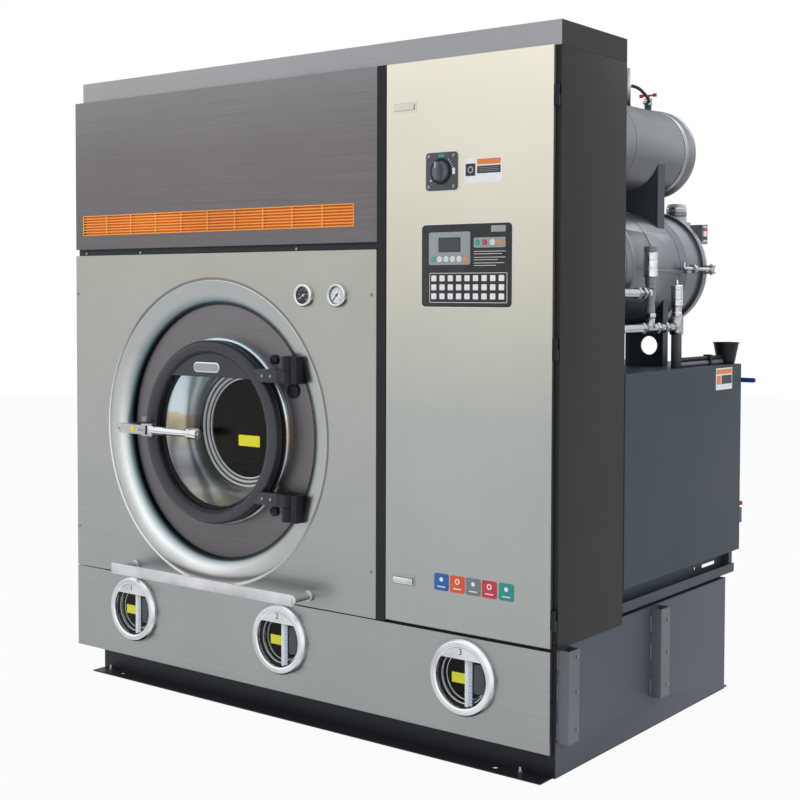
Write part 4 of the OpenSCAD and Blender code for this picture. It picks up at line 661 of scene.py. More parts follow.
# painted highlight: the bead is near white on its lower left and grey on its upper right
lit = between(tree, vectors(tree, "DOT_PRODUCT", where, BEAD_LIGHT)["Value"], 0, 1, middle - 0.1, middle + 0.35)
fill(tree, skin, {"Base Color": blend_colours(tree, lit, rgb(128, 130, 128), rgb(252, 252, 252))})

# %% Door panel with its pressed rim
GAUGES, GAUGE_Z, GAUGE_HOLE = (1105, 1242), 1344, 32
PANEL_X, PANEL_Z = (0, 1395), (360, 1483)
RIM_HOLE, RIM_NARROWS, RIM_DEEP, SHEET = 508, 84, 47, 1.6

def ring_loop(bm, x, z, y, radius, steps):
    made = bmesh.ops.create_circle(bm, cap_ends=False, segments=steps, radius=radius / 1000)["verts"]
    bmesh.ops.rotate(bm, verts=made, cent=(0, 0, 0), matrix=Matrix.Rotation(math.pi / 2, 3, "X"))
    bmesh.ops.translate(bm, verts=made, vec=place(x, y, z))
    return list({e for v in made for e in v.link_edges})

bm = bmesh.new()
x0, x1, z0, z1 = PANEL_X[0] + 0.6, PANEL_X[1] - 0.6, PANEL_Z[0] + 0.6, PANEL_Z[1] - 0.6
corners = [bm.verts.new(place(x, 0, z)) for x, z in ((x0, z0), (x1, z0), (x1, z1), (x0, z1))]
edges = [bm.edges.new(pair) for pair in zip(corners, corners[1:] + corners[:1])]
edges += ring_loop(bm, DRUM_X, DRUM_Z, 0, RIM_HOLE, 160)
for x in GAUGES:
    edges += ring_loop(bm, x, GAUGE_Z, 0, GAUGE_HOLE, 48)
bmesh.ops.triangle_fill(bm, edges=edges, use_beauty=True, use_dissolve=False, normal=(0, -1, 0))
for face in bm.faces:
    if face.normal.y > 0:
        face.normal_flip()
for x0, x1, z0, z1 in ((PANEL_X[0], 2, *PANEL_Z), (1393, PANEL_X[1], *PANEL_Z), (*PANEL_X, 1481, PANEL_Z[1]),
                       (*PANEL_X, PANEL_Z[0], 362)):
    add_box(bm, (x0, 0.3, z0), (x1, 15, z1), 0.5)
turns = [math.radians(90 * k / 28) for k in range(29)]
rim = [(RIM_HOLE - RIM_NARROWS * math.sin(t), RIM_DEEP * (1 - math.cos(t))) for t in turns]
back_of_rim = [(r + SHEET, y + SHEET) for r, y in reversed(rim[:-1])]
add_turned(bm, DRUM, rim + [(RIM_HOLE - RIM_NARROWS + 1.5, RIM_DEEP)] + back_of_rim, slot=1, steps=160)
add_turned(bm, DRUM, [(516, 0.2), (514.8, -1.8), (511.5, -2.8), (508.6, -1.8), (507.6, 0.2)], slot=2, steps=160)
door_panel = piece("door_panel_sheet", bm, "machine", "panel_steel pressed_rim pressed_bead", 50)
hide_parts("door_panel")

# %% [markdown]
# The loading neck is spun from one sheet and polished: a flat seat ring, a bell that narrows towards the
# drum, and a stepped mouth. The bell narrows fast at first and then less, so that its left side throws the
# room's light back at someone who stands to the right. Its curve is sampled and the other corners are rounded.

# %% Finishes of the loading neck
tree, skin, where = start_finish("neck_polished", rgb(225, 228, 232), 0.70, 0.17)
# painted reflection: grey, tan and pale blue bands by height, and a dark ring near the mouth by depth, on top of the
# real mirror finish
waves = between(tree, noise(tree, where, 7, (1, 1, 3), 3.0), -0.05, 0.05)
height = ramp_of(tree, maths(tree, "ADD", along(tree, where, "Z", 0.59, 1.18), waves), stops_of(
    (0.0, 120, 118, 116), (0.13, 196, 190, 180), (0.24, 132, 132, 136), (0.40, 176, 178, 182),
    (0.50, 206, 188, 160), (0.57, 232, 212, 184), (0.60, 238, 250, 255), (1.0, 216, 242, 255)))
depth = ramp_of(tree, along(tree, where, "Y", at_y(30), at_y(172)), stops_of(
    (0.0, 255, 255, 255), (0.50, 255, 255, 255), (0.76, 230, 232, 236), (0.82, 96, 96, 100),
    (0.86, 60, 60, 62), (0.90, 235, 235, 235), (1.0, 200, 200, 200)))
fill(tree, skin, {"Base Color": blend_colours(tree, 1.0, height, depth, "MULTIPLY")})

tree, skin, where = start_finish("mouth_polished", rgb(235, 238, 242), 0.3, 0.22)
flat = vectors(tree, "MULTIPLY", vectors(tree, "SUBTRACT", where, place(*DRUM))[0], (1, 0, 1))[0]
# painted highlight and shade: light and dark rings by radius on the mouth's steps
lines = add_node(tree, "ValToRGB", {0: between(tree, vectors(tree, "LENGTH", flat)["Value"], 0, 1, 0.165, 0.205)})
fill(tree, skin, {"Base Color": lines.outputs[0]})
PAINTED_RING_GREYS = [(0.10, 250), (0.19, 240), (0.24, 70), (0.36, 52), (0.43, 246), (0.50, 250), (0.57, 80), (0.70, 60),
         (0.78, 236), (0.90, 252), (1.0, 90)]
for k, (at, grey) in enumerate(PAINTED_RING_GREYS):
    mark = lines.color_ramp.elements[k] if k < 2 else lines.color_ramp.elements.new(at)
    mark.position, mark.color = at, rgb(grey, grey + 1, grey + 3)

# %% Polished loading neck
NECK_R, NECK_NARROWS, BELL_FROM, BELL_LONG, MOUTH_Y = 257, 57, 35, 120, 155.2

def bell(off):
    return [(NECK_R + off - NECK_NARROWS * math.sin(math.radians(90 * k / 16)), BELL_FROM + BELL_LONG * k / 16)
            for k in range(17)]

front_of_neck = rounded([(257, 35), (260, 32), (311, 32), (315, 37), (315, 47), (261, 47)], 3, 3)[3:-3]
stepped_mouth = rounded([(202.5, 171), (169, 171), (169, 167), (183, 167), (183, 161), (199, 161), (199, 155)], 1.5, 3)
bm = bmesh.new()
add_turned(bm, DRUM, front_of_neck + bell(2.5)[2:] + stepped_mouth + bell(0)[::-1], steps=160)
for face in bm.faces:
    face.material_index = 1 if face.calc_center_median().y > at_y(MOUTH_Y) else 0
loading_neck = piece("loading_neck_polished", bm, "machine", "neck_polished mouth_polished", 50)
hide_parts("loading_neck")

# %% [markdown]
# The drum is perforated sheet. Real holes would be tens of thousands of small edges, so the sheet is one smooth spun
# shell, and its own UV map runs round it and along it in metres. A finish then repeats one round hole on that map: the
# hole is painted near black, as the shade seen through it, and a pale painted highlight rings its punched edge.

# %% Perforated finish
PITCH, HOLE = 0.016, 0.30
tree, skin, where = start_finish("drum_sheet", rgb(190, 180, 160), 0.75, 0.34)
uv = add_node(tree, "UVMap", uv_map="round_and_along").outputs[0]
grid = add_node(tree, "Mapping", {"Vector": uv, "Scale": (1 / PITCH, 1 / PITCH, 1),
                                  "Rotation": (0, 0, math.radians(45))}).outputs[0]
cell = vectors(tree, "SUBTRACT", vectors(tree, "FRACTION", grid)[0], (0.5, 0.5, 0))[0]
far = vectors(tree, "LENGTH", cell)["Value"]
sheet = between(tree, far, 0, 1, HOLE - 0.03, HOLE + 0.03)
# painted highlight round each hole's edge, and painted shade: the holes near black
rim = between(tree, far, 1, 0, HOLE + 0.03, HOLE + 0.12)
sheet_with_painted_rims = blend_colours(tree, rim, rgb(58, 55, 50), rgb(255, 238, 200))
fill(tree, skin, {"Base Color": blend_colours(tree, sheet, rgb(7, 7, 7), sheet_with_painted_rims),
                  "Metallic": between(tree, far, 0, 0.45, HOLE - 0.03, HOLE + 0.03)})
relief(tree, skin, sheet, 0.3, 0.001)
print("perforated sheet ready")

# %% Drum
DRUM_R, RIB_LONG, RIB_ROUND = 470, 0.391, 0.012

def map_round(mesh, centre):
    layer = mesh.uv_layers.new(name="round_and_along")
    for face in mesh.polygons:
        flat, first = abs(face.normal.y) > 0.7, None
        for i in face.loop_indices:
            co = mesh.vertices[mesh.loops[i].vertex_index].co
            turn = math.atan2(co.z - centre.z, co.x - centre.x)
            first = turn if first is None else first
            turn += 2 * math.pi * round((first - turn) / (2 * math.pi))
            layer.data[i].uv = (co.x, co.z) if flat else (turn * (DRUM_R / 1000), co.y)

bm = bmesh.new()
add_turned(bm, DRUM, [(174, 178), (DRUM_R, 178), (DRUM_R, 575), (0, 575), (0, 572), (467, 572), (467, 181),
                      (174, 181)], steps=144)
for turn in (90, 210, 330):
    before = set(bm.faces)
    section = ((462, -55), (390, -14), (390, 14), (462, 55))
    base = bm.faces.new([bm.verts.new(place(DRUM_X + r, 181, DRUM_Z + s)) for r, s in section])
    top = bmesh.ops.extrude_face_region(bm, geom=[base])["geom"]
    lifted = [v for v in top if isinstance(v, bmesh.types.BMVert)]
    bmesh.ops.translate(bm, verts=lifted, vec=(0, RIB_LONG, 0))
    made = list(set(bm.faces) - before)
    bmesh.ops.recalc_face_normals(bm, faces=made)
    bevel_edges(bm, [e for e in {e for f in made for e in f.edges} if runs_back(e)], RIB_ROUND, 4)
    made = {v for f in set(bm.faces) - before for v in f.verts}
    bmesh.ops.rotate(bm, verts=list(made), cent=place(*DRUM), matrix=Matrix.Rotation(-math.radians(turn), 3, "Y"))
drum = piece("drum_perforated", bm, "drum_set", "drum_sheet", 40)
map_round(drum.data, place(*DRUM))
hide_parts("drum")

# %% [markdown]
# The loading door is a heavy ring of rounded section that carries a flat round glass. A plate closes the top
# of the ring down to a level chord, and two arms run to the hinges. The ring is spun, the plate is a disc cut
# by a plane, and the arms are bevelled blocks. All are painted cast metal.

# %% Door ring
ring_section = [(261, 22), (261, -6), (268, -17), (276, -25), (291, -26), (301, -19), (307, -9), (307, 14), (300, 22)]
bm = bmesh.new()
add_turned(bm, DRUM, rounded(ring_section, 8, 5), steps=144)
door_ring = piece("door_ring_bar", bm, "loading_door", "ring_metal", 60)
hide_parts("door_ring")

# %% Plate over the top of the glass
CHORD_RISE = 184
bm = bmesh.new()
add_turned(bm, DRUM, hoop(0, 263, -8, 0), steps=144)
keep_above(bm, DRUM_X, DRUM_Z + CHORD_RISE)
bevel_edges(bm, [e for e in bm.edges if len(e.link_faces) == 2 and e.calc_face_angle(0) > 1.2], 0.001, 2, True)
bmesh.ops.recalc_face_normals(bm, faces=bm.faces)
piece("door_chord_plate", bm, "loading_door", "ring_metal", 40)

# %% Hinge arms
HINGES_OFF = 198
bm = bmesh.new()
for z in (DRUM_Z - HINGES_OFF, DRUM_Z + HINGES_OFF):
    add_box(bm, (905, -21, z - 21), (1005, 11, z + 21), 3.0, segments=3)
    add_box(bm, (930, -22, z - 12), (994, -20, z + 12), 0.6)
    for x in (944, 980):
        add_turned(bm, (x, 0, z), button(4, 5, -25, -24, -21), slot=1, steps=24)
piece("door_arms", bm, "loading_door", "ring_metal bolt_steel", 40)

# %% [markdown]
# A badge sits on the plate, and a plain yellow sticker on the glass. Both stay blank. They are thin plates
# with a trace of thickness, because print and foil show their edge when the light is low.

# %% Blank badge and sticker of the door
bm = bmesh.new()
add_plate(bm, 616, 738, 1086, 1120, -9.6, -8, 16.5, 0, 0.8)
add_plate(bm, 621, 733, 1090.5, 1115.5, -10, -9.5, 12, 1, 0)
piece("door_badge_blank", bm, "loading_door", "silver_ring foil_grey")
bm = bmesh.new()
add_plate(bm, 813, 908, 850, 886, 4.5, 5, 1.5, 0, 0)
piece("door_sticker_plain", bm, "loading_door", "foil_yellow")

# %% [markdown]
# The lever is turned bar: a thick root, a long waist and a collar with a boss at its end. It turns in a fork
# on a cast block at the left of the ring. The lever, its hub and its pin are one piece on the lever's body.

# %% Door lever
LEVER = (466, -62, 884)
bm = bmesh.new()
add_turned(bm, LEVER, [(0, 8), (13.5, 8), (15, 12), (15, 56), (14.2, 60), (12.4, 64), (12.2, 160), (13, 170), (18, 180),
                       (19, 184), (19, 189), (18, 190.5), (18, 192), (19, 193.5), (19, 222), (17.5, 226.5), (14, 228),
                       (7.5, 228), (7, 230.5), (5, 231), (0, 231)], "x", 0, 48)
add_turned(bm, LEVER, rounded(hoop(0, 15, -15.2, 15.2), 2, 3), "z", 0, 48)
add_turned(bm, LEVER, rounded(hoop(0, 6, -22.5, 22.5), 1, 3), "z", 1, 32)
door_handle = piece("door_lever_turned", bm, "door_lever", "chrome bolt_steel", 40)
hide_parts("door_handle")

# %% Handle block
eased("handle_bracket", "cast_alloy", 1.6)
bm = bmesh.new()
add_box(bm, (300.5, -75, 870.5), (303.5, -49, 897.5), 1.2, 0)
add_plate(bm, 379, 396, 875, 893, -77.8, -77, 3, 1, 0.2)
for x in (318, 420, 436):
    add_turned(bm, (x, 0, 884), button(3.5, 4.6, -79, -78, -77), slot=2, steps=24)
piece("handle_block_trim", bm, "loading_door", "black_plastic foil_yellow bolt_steel")
eased("guard_bar", "bar_steel", 1.2)

# %% [markdown]
# The two gauges are a thick chromed rim, a dial a little below it, and a flat glass. The thermometer's dial
# is black and the pressure gauge's is white. Tick marks and plain numbers are real thin pieces, the numbers
# made from text and turned into mesh before they are put in place.

# %% Numbers and ticks as mesh
def add_number(bm, words, x, y, z, size, slot):
    before = set(bm.faces)
    curve = bpy.data.curves.new("number", "FONT")
    curve.body, curve.size, curve.extrude = words, size / 1000, 0.0002
    curve.align_x, curve.align_y = "CENTER", "CENTER"
    temp = bpy.data.objects.new("number", curve)
    mesh = bpy.data.meshes.new_from_object(temp)
    mesh.transform(Matrix.Translation(place(x, y, z)) @ Matrix.Rotation(math.pi / 2, 4, "X"))
    bm.from_mesh(mesh)
    bpy.data.objects.remove(temp)
    bpy.data.curves.remove(curve)
    bpy.data.meshes.remove(mesh)
    fresh(bm, before, slot)

def add_tick(bm, x, z, y, radius, length, width, angle, slot):
    low, high = (x - width / 2, y, z + radius - length), (x + width / 2, y + 0.3, z + radius)
    add_box_at_angle(bm, x, z, angle, low, high, slot)

# %% Gauges
FIRST_MARK, SWEEP, TICKS, NUMBERS, NUMBER_R = -135, 270, 40, 5, 16.2
bm = bmesh.new()
bezel = rounded([(26.5, -11), (29, -13), (34, -13), (37, -9), (37, 0), (31, 0), (31, -5.5), (26.5, -5.5)], 1.6, 4)
for x in GAUGES:
    add_turned(bm, (x, 0, GAUGE_Z), bezel, steps=72)
    add_turned(bm, (x, 0, GAUGE_Z), [(0, -4), (31, -4), (31, 35), (8, 35), (8, 60), (0, 60)], slot=1, steps=48)
gauge_rims = piece("gauge_rims", bm, "machine", "chrome black_plastic", 40)
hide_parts("gauges")
for x, print_on_back, label in zip(GAUGES, ("panel_black foil_white", "foil_white foil_dark"),
                                   ("thermometer", "pressure")):
    bm = bmesh.new()
    add_turned(bm, (x, 0, GAUGE_Z), hoop(0, 26.4, -5.2, -4), slot=0, steps=64)
    add_turned(bm, (x, 0, GAUGE_Z), hoop(25.2, 26.3, -5.6, -5.2), slot=2, steps=64)
    for k in range(TICKS + 1):
        length, width = (4.5, 0.7) if k % 8 == 0 else (2.4, 0.35)
        add_tick(bm, x, GAUGE_Z, -5.5, 24, length, width, FIRST_MARK + SWEEP / TICKS * k, 1)
    for k in range(NUMBERS + 1):
        a = math.radians(FIRST_MARK + SWEEP / NUMBERS * k)
        add_number(bm, str(2 * k), x + NUMBER_R * math.sin(a), -5.35, GAUGE_Z + NUMBER_R * math.cos(a), 5, 1)
    piece(label + "_dial", bm, "machine", print_on_back + " rubber")
bm = bmesh.new()
for x in GAUGES:
    add_turned(bm, (x, 0, GAUGE_Z), hoop(0, 26.5, -10.6, -9.4), steps=48)
piece("gauge_glasses", bm, "machine", "small_glass_clear")

# %% [markdown]
# Each solvent tank has a round sight glass in a thick silvery ring. A small plate closes the top of the ring
# and carries the tank's plain number. Behind the glass stand a white level scale with its ticks and a plain
# yellow tag, in a dark housing with a thin bright inner ring.

# %% Sight glass rings
SIGHTS, SIGHT_Z = (310, 1004, 1723), 239
sight_section = [(88, -17), (92, -20), (106.5, -20), (113.5, -11), (113.5, 0), (95, 0), (95, 29), (88, 29)]
bm = bmesh.new()
for x in SIGHTS:
    add_turned(bm, (x, 0, SIGHT_Z), rounded(sight_section, 2.2, 4), steps=96)
sight_rings = piece("sight_rings_turned", bm, "machine", "silver_ring", 45)
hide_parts("sight_glass_rings")
for number, x in enumerate(SIGHTS, 1):
    bm = bmesh.new()
    add_turned(bm, (x, 0, SIGHT_Z), hoop(0, 89, -17.6, -14.5), steps=96)
    keep_above(bm, x, SIGHT_Z + 55)
    bmesh.ops.recalc_face_normals(bm, faces=bm.faces)
    add_number(bm, str(number), x, -17.8, SIGHT_Z + 76, 27, 1)
    piece(f"sight_plate_{number}", bm, "machine", "silver_ring foil_dark")

# %% Level scales, tags and inner rings
bm = bmesh.new()
for x in SIGHTS:
    add_box(bm, (x + 8, -5.9, SIGHT_Z - 84), (x + 20, -4.4, SIGHT_Z + 84), 0.3, 0)
    add_box(bm, (x + 20, -5.6, SIGHT_Z - 80), (x + 34, -4.2, SIGHT_Z + 80), 0.3, 1)
    for k in range(-7, 8):
        wide = 9 if k % 2 == 0 else 5
        add_box(bm, (x + 33 - wide, -5.8, SIGHT_Z + 10 * k - 0.5), (x + 33, -5.5, SIGHT_Z + 10 * k + 0.5), 0, 2)
    add_plate(bm, x - 38, x + 8, SIGHT_Z - 18, SIGHT_Z + 12, -5.9, -5.2, 1.5, 3, 0)
    for inner in (hoop(77, 80, 0, 10), hoop(69, 72, 14, 24)):
        add_turned(bm, (x, 0, SIGHT_Z), rounded(inner, 1, 3), slot=4, steps=72)
    add_plate(bm, x + 36, x + 74, SIGHT_Z - 42, SIGHT_Z + 44, -2, 2, 6, 5, 0.6)
    add_turned(bm, (x, 0, SIGHT_Z), hoop(86.2, 87.9, -5, 28), slot=6, steps=72)
scales = piece("level_scales_marked", bm, "machine",
               "foil_white scale_blue foil_dark foil_yellow chrome float_grey rubber")
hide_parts("level_scales")

# %% [markdown]
# The hinge blocks are plain castings. Each holds a black pin, whose ends show above and below the block, and
# is fixed by a black cap screw.

# %% Hinge pins and screws
bm = bmesh.new()
for side in (-1, 1):
    z = DRUM_Z + side * HINGES_OFF
    add_turned(bm, (1045, -5, z), rounded(hoop(0, 7.5, -24, 24), 2, 3), "z", 0, 32)
    add_turned(bm, (1080, 0, z + side * 44), button(5, 6.5, -27.5, -26.4, -24), slot=0, steps=24)
piece("hinge_pins_dark", bm, "machine", "hinge_black")

# %% [markdown]
# The main switch is a square plate with a round knob and a raised grip. A green mark shows its top place,
# and pale marks show its quarter turn. The knob's skirt has a fine ring of ribs for the fingers.

# %% Main switch
SWITCH_X, SWITCH_Z = 1638, 1704
SWITCH = (SWITCH_X, 0, SWITCH_Z)
bm = bmesh.new()
add_plate(bm, SWITCH_X - 55, SWITCH_X + 55, SWITCH_Z - 55, SWITCH_Z + 55, -5, 0, 10, 0, 1.2)
for dx in (-44, 44):
    for dz in (-44, 44):
        add_turned(bm, (SWITCH_X + dx, 0, SWITCH_Z + dz), button(3, 4.5, -6.3, -5.6, -4.5), slot=1, steps=20)
add_turned(bm, SWITCH, rounded(hoop(30, 38, -5.8, -4.5), 0.5, 2), slot=2, steps=64)
add_plate(bm, SWITCH_X - 9, SWITCH_X + 11, SWITCH_Z + 41, SWITCH_Z + 49, -5.6, -4.8, 2, 3, 0)
add_plate(bm, SWITCH_X + 41, SWITCH_X + 50, SWITCH_Z - 10, SWITCH_Z + 8, -5.6, -4.8, 1.5, 4, 0)
for k in range(5):
    add_tick(bm, SWITCH_X, SWITCH_Z, -5.4, 44, 4, 1.6, 40 + 11 * k, 4)
add_turned(bm, (SWITCH_X - 36, 0, SWITCH_Z - 26), hoop(0, 2.6, -5.6, -4.8), slot=4, steps=20)
switch_plate = piece("switch_plate_marked", bm, "cabinet_door",
                     "switch_grey bolt_steel black_plastic key_green foil_white")
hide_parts("switch_plate")

# %% Switch knob
RIBS = 36
bm = bmesh.new()
add_turned(bm, SWITCH, rounded(button(24, 27, -16, -13, -5.3), 2, 4), steps=72)
add_box(bm, (SWITCH_X - 7, -34, SWITCH_Z - 26), (SWITCH_X + 7, -14, SWITCH_Z + 26), 3.5, 0, 4)
for k in range(RIBS):
    add_box_at_angle(bm, SWITCH_X, SWITCH_Z, 360 / RIBS * k, (SWITCH_X - 0.9, -14, SWITCH_Z + 26.2),
                     (SWITCH_X + 0.9, -6.5, SWITCH_Z + 27.4), 0)
add_box(bm, (SWITCH_X - 1.2, -34.3, SWITCH_Z + 8), (SWITCH_X + 1.2, -33.6, SWITCH_Z + 24), 0.2, 1)
switch_knob = piece("switch_knob_grip", bm, "switch_knob", "knob_grey foil_white")
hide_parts("switch_knob")

# %% [markdown]
# The control panel is a black membrane plate. It carries a grey display frame with a dark screen and six
# round keys, a strip with four more, and three rows of nine square keys in a thin white frame. Every key is
# left without a sign, and so is the small plate at the panel's upper right.

# %% Control panel
bm = bmesh.new()
for row in ((1565.5, 1884.5, 1309.5, 1552.5, -1, 0, 13, 10, 0.2), (1568, 1882, 1312, 1550, -3, 0, 12, 0, 0.8),
            (1596, 1742, 1433, 1528, -6, -2.5, 6, 1, 0.8), (1631, 1709, 1470, 1512, -6.6, -5.5, 2, 2, 0.4),
            (1635, 1705, 1474, 1508, -6.9, -6.4, 1, 3, 0), (1754, 1862, 1481, 1510, -4.5, -2.5, 4, 1, 0.4),
            (1813, 1862, 1525, 1543, -3.8, -2.8, 1.5, 4, 0.2)):
    add_plate(bm, *row)
round_keys = [(1612 + 23 * k, 1450, -7.3, c) for k, c in enumerate((5, 6, 6, 6, 6, 8))]
round_keys += [(1766 + 26 * k, 1496, -5.8, c) for k, c in enumerate((5, 7, 6, 8))]
for x, z, y, colour in round_keys:
    add_turned(bm, (x, 0, z), rounded(button(7, 8.6, y, y + 1, y + 2.4), 0.8, 3), slot=colour, steps=32)
    add_turned(bm, (x, 0, z), hoop(2.4, 3.6, y - 0.1, y + 0.3), slot=9, steps=24)
for i in range(9):
    for k in range(3):
        x, z = 1604 + 29.5 * i, 1334 + 26 * k
        add_plate(bm, x, x + 18, z, z + 17, -4.2, -2.8, 2.2, 6, 0.4)
for x0, z0, x1, z1 in ((1597, 1324, 1868, 1325.4), (1597, 1408.6, 1868, 1410), (1597, 1324, 1598.4, 1410),
                       (1866.6, 1324, 1868, 1410)):
    add_box(bm, (x0, -3.3, z0), (x1, -2.9, z1), 0, 10)
for z, wide in ((1470, 108), (1463, 96), (1453, 108), (1446, 82), (1437, 104), (1430, 76)):
    add_box(bm, (1754, -3.2, z), (1754 + wide, -2.9, z + 1.3), 0, 10)
panel = piece("control_panel_keys", bm, "cabinet_door", "panel_black display_grey foil_dark screen_dark foil_grey "
              "key_green key_white key_red key_orange foil_grey foil_white")
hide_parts("control_panel")

# %% [markdown]
# Foil labels sit on the cabinet door and on the rear casing. They keep the places and the colour blocks of
# the photograph with nothing written on them. The row of five tiles carries only plain round and straight
# marks.

# %% Labels and tiles
TILES = (1642, 1699, 1755, 1811, 1869)
bm = bmesh.new()
for row in ((1716, 1847, 1665, 1737, -0.5, 0, 1.5, 0, 0), (1762, 1842, 1717, 1733, -0.8, -0.4, 0.8, 1, 0),
            (1762, 1842, 1692, 1713, -0.8, -0.4, 0.8, 2, 0), (1722, 1756, 1686, 1721, -0.8, -0.4, 3, 2, 0)):
    add_plate(bm, *row)
for z in (1707, 1702, 1697):
    add_box(bm, (1768, -1.0, z), (1836, -0.7, z + 1.2), 0, 3)
add_turned(bm, (1739, 0, 1703.5), hoop(6, 10, -1, -0.7), slot=3, steps=32)
piece("door_label_blank", bm, "cabinet_door", "foil_white foil_orange foil_dark foil_grey")
bm = bmesh.new()
for slot, x in enumerate(TILES):
    add_plate(bm, x - 26, x + 26, 481, 531, -0.8, 0, 6, slot, 0.2)
    mark = hoop(5, 8.5, -1.2, -0.6) if slot % 2 else hoop(0, 6.5, -1.2, -0.6)
    add_turned(bm, (x, 0, 514), mark, slot=5, steps=32)
    add_box(bm, (x - 14, -1.1, 491), (x + 14, -0.7, 494), 0, 5)
piece("door_tiles_plain", bm, "cabinet_door", "tile_blue tile_orange tile_grey foil_red tile_teal foil_white")
bm = bmesh.new()
for low, high, slot in (((2030.6, 1019, 1031), (2031.6, 1147, 1104), 0), ((2031.4, 1023, 1084), (2032, 1143, 1100), 1),
                        ((2031.4, 1062, 1050), (2032, 1143, 1079), 2), ((2031.4, 1025, 1050), (2032, 1056, 1079), 1)):
    add_box(bm, low, high, 0, slot)
piece("casing_label_blank", bm, "machine", "foil_white foil_orange foil_dark")

# %% [markdown]
# The two quarter-turn latches of the cabinet door keep their CAD shape with eased edges: the upper one is
# cream plastic and the lower one is metal.

# %% Latches
eased("upper_latch", "cream_plastic", 0.6)
eased("lower_latch", "silver_ring", 0.6)

# %% [markdown]
# The orange strip over the upper panel is a row of slats. A brighter orange pan stands behind them, so that
# the gaps between the slats glow as in the photograph.

# %% Orange pan behind the slats
bm = bmesh.new()
add_box(bm, (44, 6, 1552), (1304, 8, 1628), 0, 0)
piece("grille_pan", bm, "machine", "pan_orange")

# %% [markdown]
# Two upright valves stand on the level pipe. The first is a nut, a grey body, a silver head with fine grooves
# and a grey cap. The second is shorter: a plated body, a grooved head and a plated tip.

# %% Upright valves
PIPE_X, VALVES, SEAT_Z, BRANCH_Z = 1987, (628, 812), 1279, 1354
FIRST, SECOND = (PIPE_X, VALVES[0], SEAT_Z), (PIPE_X, VALVES[1], SEAT_Z)
body = [(0, 12), (15, 12), (15, 34), (13.6, 36), (13.6, 52), (16, 54), (16, 88), (13, 90), (0, 90)]
waist = [(0, 90), (16, 90), (16, 97), (14.5, 99), (14.5, 103), (17, 105), (17, 126), (0, 126)]
head = [(0, 126), (20.5, 126), (22, 128), (22, 150), (21, 151), (21, 153), (22, 154), (22, 176), (21, 177),
        (21, 179), (22, 180), (22, 200), (20.5, 201.5), (0, 201.5)]
short_body = [(0, 0), (17, 0), (17, 12), (15.4, 14), (15.4, 32), (17, 34), (0, 34)]
short_head = [(0, 34), (17.5, 34), (19, 35.5), (19, 52), (18, 53), (18, 55), (19, 56), (19, 84), (18, 85), (18, 87),
              (19, 88), (19, 100.5), (17.5, 102), (0, 102)]
bm = bmesh.new()
add_turned(bm, FIRST, rounded(hoop(0, 19.8, 0, 12), 2, 3), "z", 0, 6)
add_turned(bm, FIRST, rounded(body, 1.2, 3), "z", 1, 48)
add_turned(bm, FIRST, rounded(waist, 1, 3), "z", 1, 48)
add_turned(bm, FIRST, head, "z", 2, 64)
add_turned(bm, FIRST, rounded([(0, 201.5), (21, 201.5), (21, 220), (0, 222)], 2, 3), "z", 1, 64)
add_turned(bm, (PIPE_X, VALVES[0] - 24, BRANCH_Z), rounded(hoop(0, 15.8, 0, 12), 1.5, 3), "y", 0, 32)
add_turned(bm, SECOND, rounded(short_body, 1, 3), "z", 0, 48)
add_turned(bm, SECOND, short_head, "z", 2, 64)
add_turned(bm, SECOND, rounded([(0, 102), (5, 102), (5, 112), (3, 118), (0, 118)], 1, 3), "z", 0, 24)
valves = piece("upright_valves", bm, "machine", "bright_zinc valve_grey silver_ring")
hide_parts("control_valves")

# %% [markdown]
# A thin black tube links the vent pipe to the ball valve on the condenser. It is fixed plumbing, so it is a
# rigid swept tube: a circle is carried along a short curve, and the rings between are bridged.

# %% Vent tube
def curve_through(points, parts):
    """A smooth curve through the points, as a Catmull-Rom spline cut into parts."""
    path, last = [], len(points) - 1
    for i in range(last):
        p0, p1, p2, p3 = points[max(i - 1, 0)], points[i], points[i + 1], points[min(i + 2, last)]
        for k in range(parts):
            s = k / parts
            path.append(0.5 * ((2 * p1) + (p2 - p0) * s + (2 * p0 - 5 * p1 + 4 * p2 - p3) * s * s
                               + (3 * p1 - p0 - 3 * p2 + p3) * s ** 3))
    return path + [points[-1]]

def add_tube(bm, points, radius, steps=20):
    before, rings = set(bm.faces), []
    for i, point in enumerate(points):
        ahead = points[min(i + 1, len(points) - 1)] - points[max(i - 1, 0)]
        at_end = i in (0, len(points) - 1)
        ring = bmesh.ops.create_circle(bm, segments=steps, radius=radius / 1000, cap_ends=at_end)["verts"]
        bmesh.ops.rotate(bm, verts=ring, cent=(0, 0, 0), matrix=ahead.to_track_quat("Z", "Y").to_matrix())
        bmesh.ops.translate(bm, verts=ring, vec=point)
        rings.append([e for e in {e for v in ring for e in v.link_edges} if all(v in ring for v in e.verts)])
    for one, two in zip(rings, rings[1:]):
        bmesh.ops.bridge_loops(bm, edges=one + two)
    bmesh.ops.recalc_face_normals(bm, faces=[f for f in bm.faces if f not in before])

TUBE = [(1800, 826, 2040), (1806, 880, 2036), (1794, 960, 2020), (1772, 1020, 2012), (1750, 1041, 2012)]
bm = bmesh.new()
add_tube(bm, curve_through([place(*point) for point in TUBE], 6), 5.5)
add_turned(bm, (1800, 815, 2040), rounded(hoop(0, 7.5, 0, 14), 1, 2), "y", 1, 24)
add_turned(bm, (1750, 1030, 2012), rounded(hoop(0, 8, 0, 12), 1, 2), "y", 1, 24)
piece("vent_tube", bm, "machine", "hose_rubber bright_zinc")

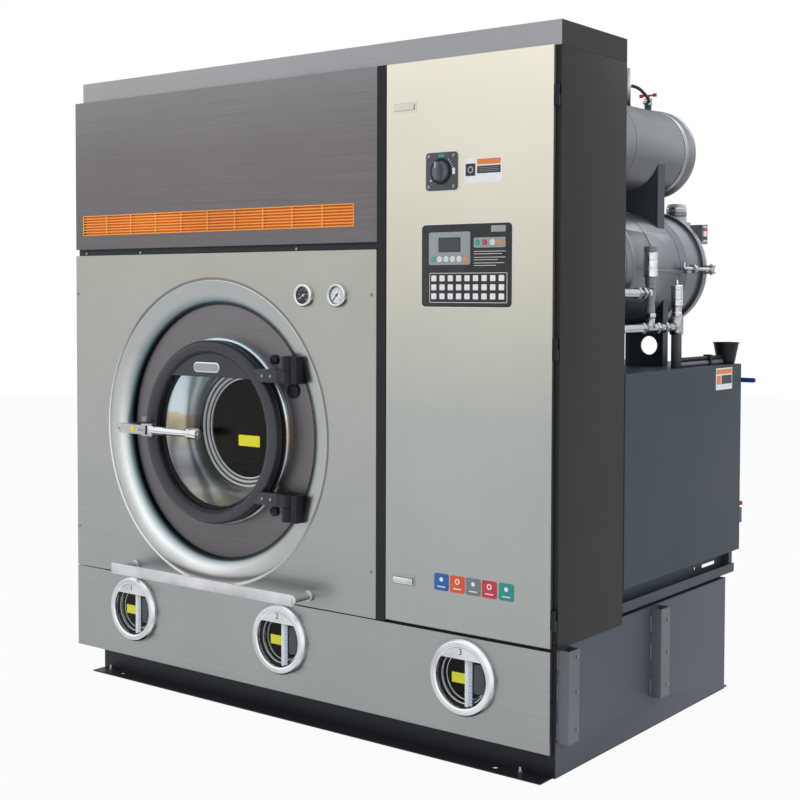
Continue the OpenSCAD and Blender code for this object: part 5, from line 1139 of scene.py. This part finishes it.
# %% [markdown]
# The still's small motor has a chromed band round its top and three dark grooves below it. Its terminal box
# carries a white label with a red and a dark bar and nothing written.

# %% Bands on the small motor
bm = bmesh.new()
for z, tall, slot in ((46, 4, 0), (22, 2.4, 1), (27, 2.4, 1), (32, 2.4, 1)):
    add_turned(bm, (1790, 1200, 1605), rounded(hoop(34, 36.8, z, z + tall), 0.5, 2), "z", slot, 48)
piece("motor_bands", bm, "still_door", "chrome dark_steel")

# %% Plain label of the terminal box
low, high = (Vector(v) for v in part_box("still_motor"))
BOX_SIDE, LABEL_DEEP = at_x(1916), 0.026
bm = bmesh.new()
for z0, z1, out, slot in ((1536, 1586, 0.3, 0), (1570, 1582, 0.6, 1), (1540, 1552, 0.6, 2)):
    verts = bmesh.ops.create_cube(bm, size=1)["verts"]
    before = set(bm.faces) - {f for v in verts for f in v.link_faces}
    bmesh.ops.scale(bm, vec=(out / 1000, LABEL_DEEP, (z1 - z0) / 1000), verts=verts)
    bmesh.ops.translate(bm, vec=(BOX_SIDE + out / 2000, low.y + 0.017, (z0 + z1) / 2000), verts=verts)
    fresh(bm, before, slot)
piece("terminal_box_label", bm, "still_door", "foil_white foil_red foil_dark")

# %% [markdown]
# The vessels are welded from rolled shells. Each weld shows as a thin line round the shell. The condenser's flange is a
# grey band, and the highlight on its edge is painted as a thin ring in bright zinc. The lines are rings spun a fraction
# of a millimetre proud of the paint.

# %% Weld lines and flange edges
VESSELS_X, STILL, CONDENSER = 1750, (1436, 190), (1836, 146)
bm = bmesh.new()
for (z, radius), y, wide, proud, slot in (
        (STILL, 560, 1.6, 0.7, 0), (STILL, 742, 1.6, 0.7, 0), (STILL, 930, 1.6, 0.7, 0),
        # the last ring is a painted highlight on the flange's edge
        (CONDENSER, 700, 1.6, 0.7, 0), (CONDENSER, 1046, 22, 2.6, 1), (CONDENSER, 1044, 1.6, 3.2, 2)):
    add_turned(bm, (VESSELS_X, 0, z), hoop(radius - 1, radius + proud, y, y + wide), steps=128, slot=slot)
piece("vessel_welds", bm, "machine", "dark_steel rim_grey bright_zinc")
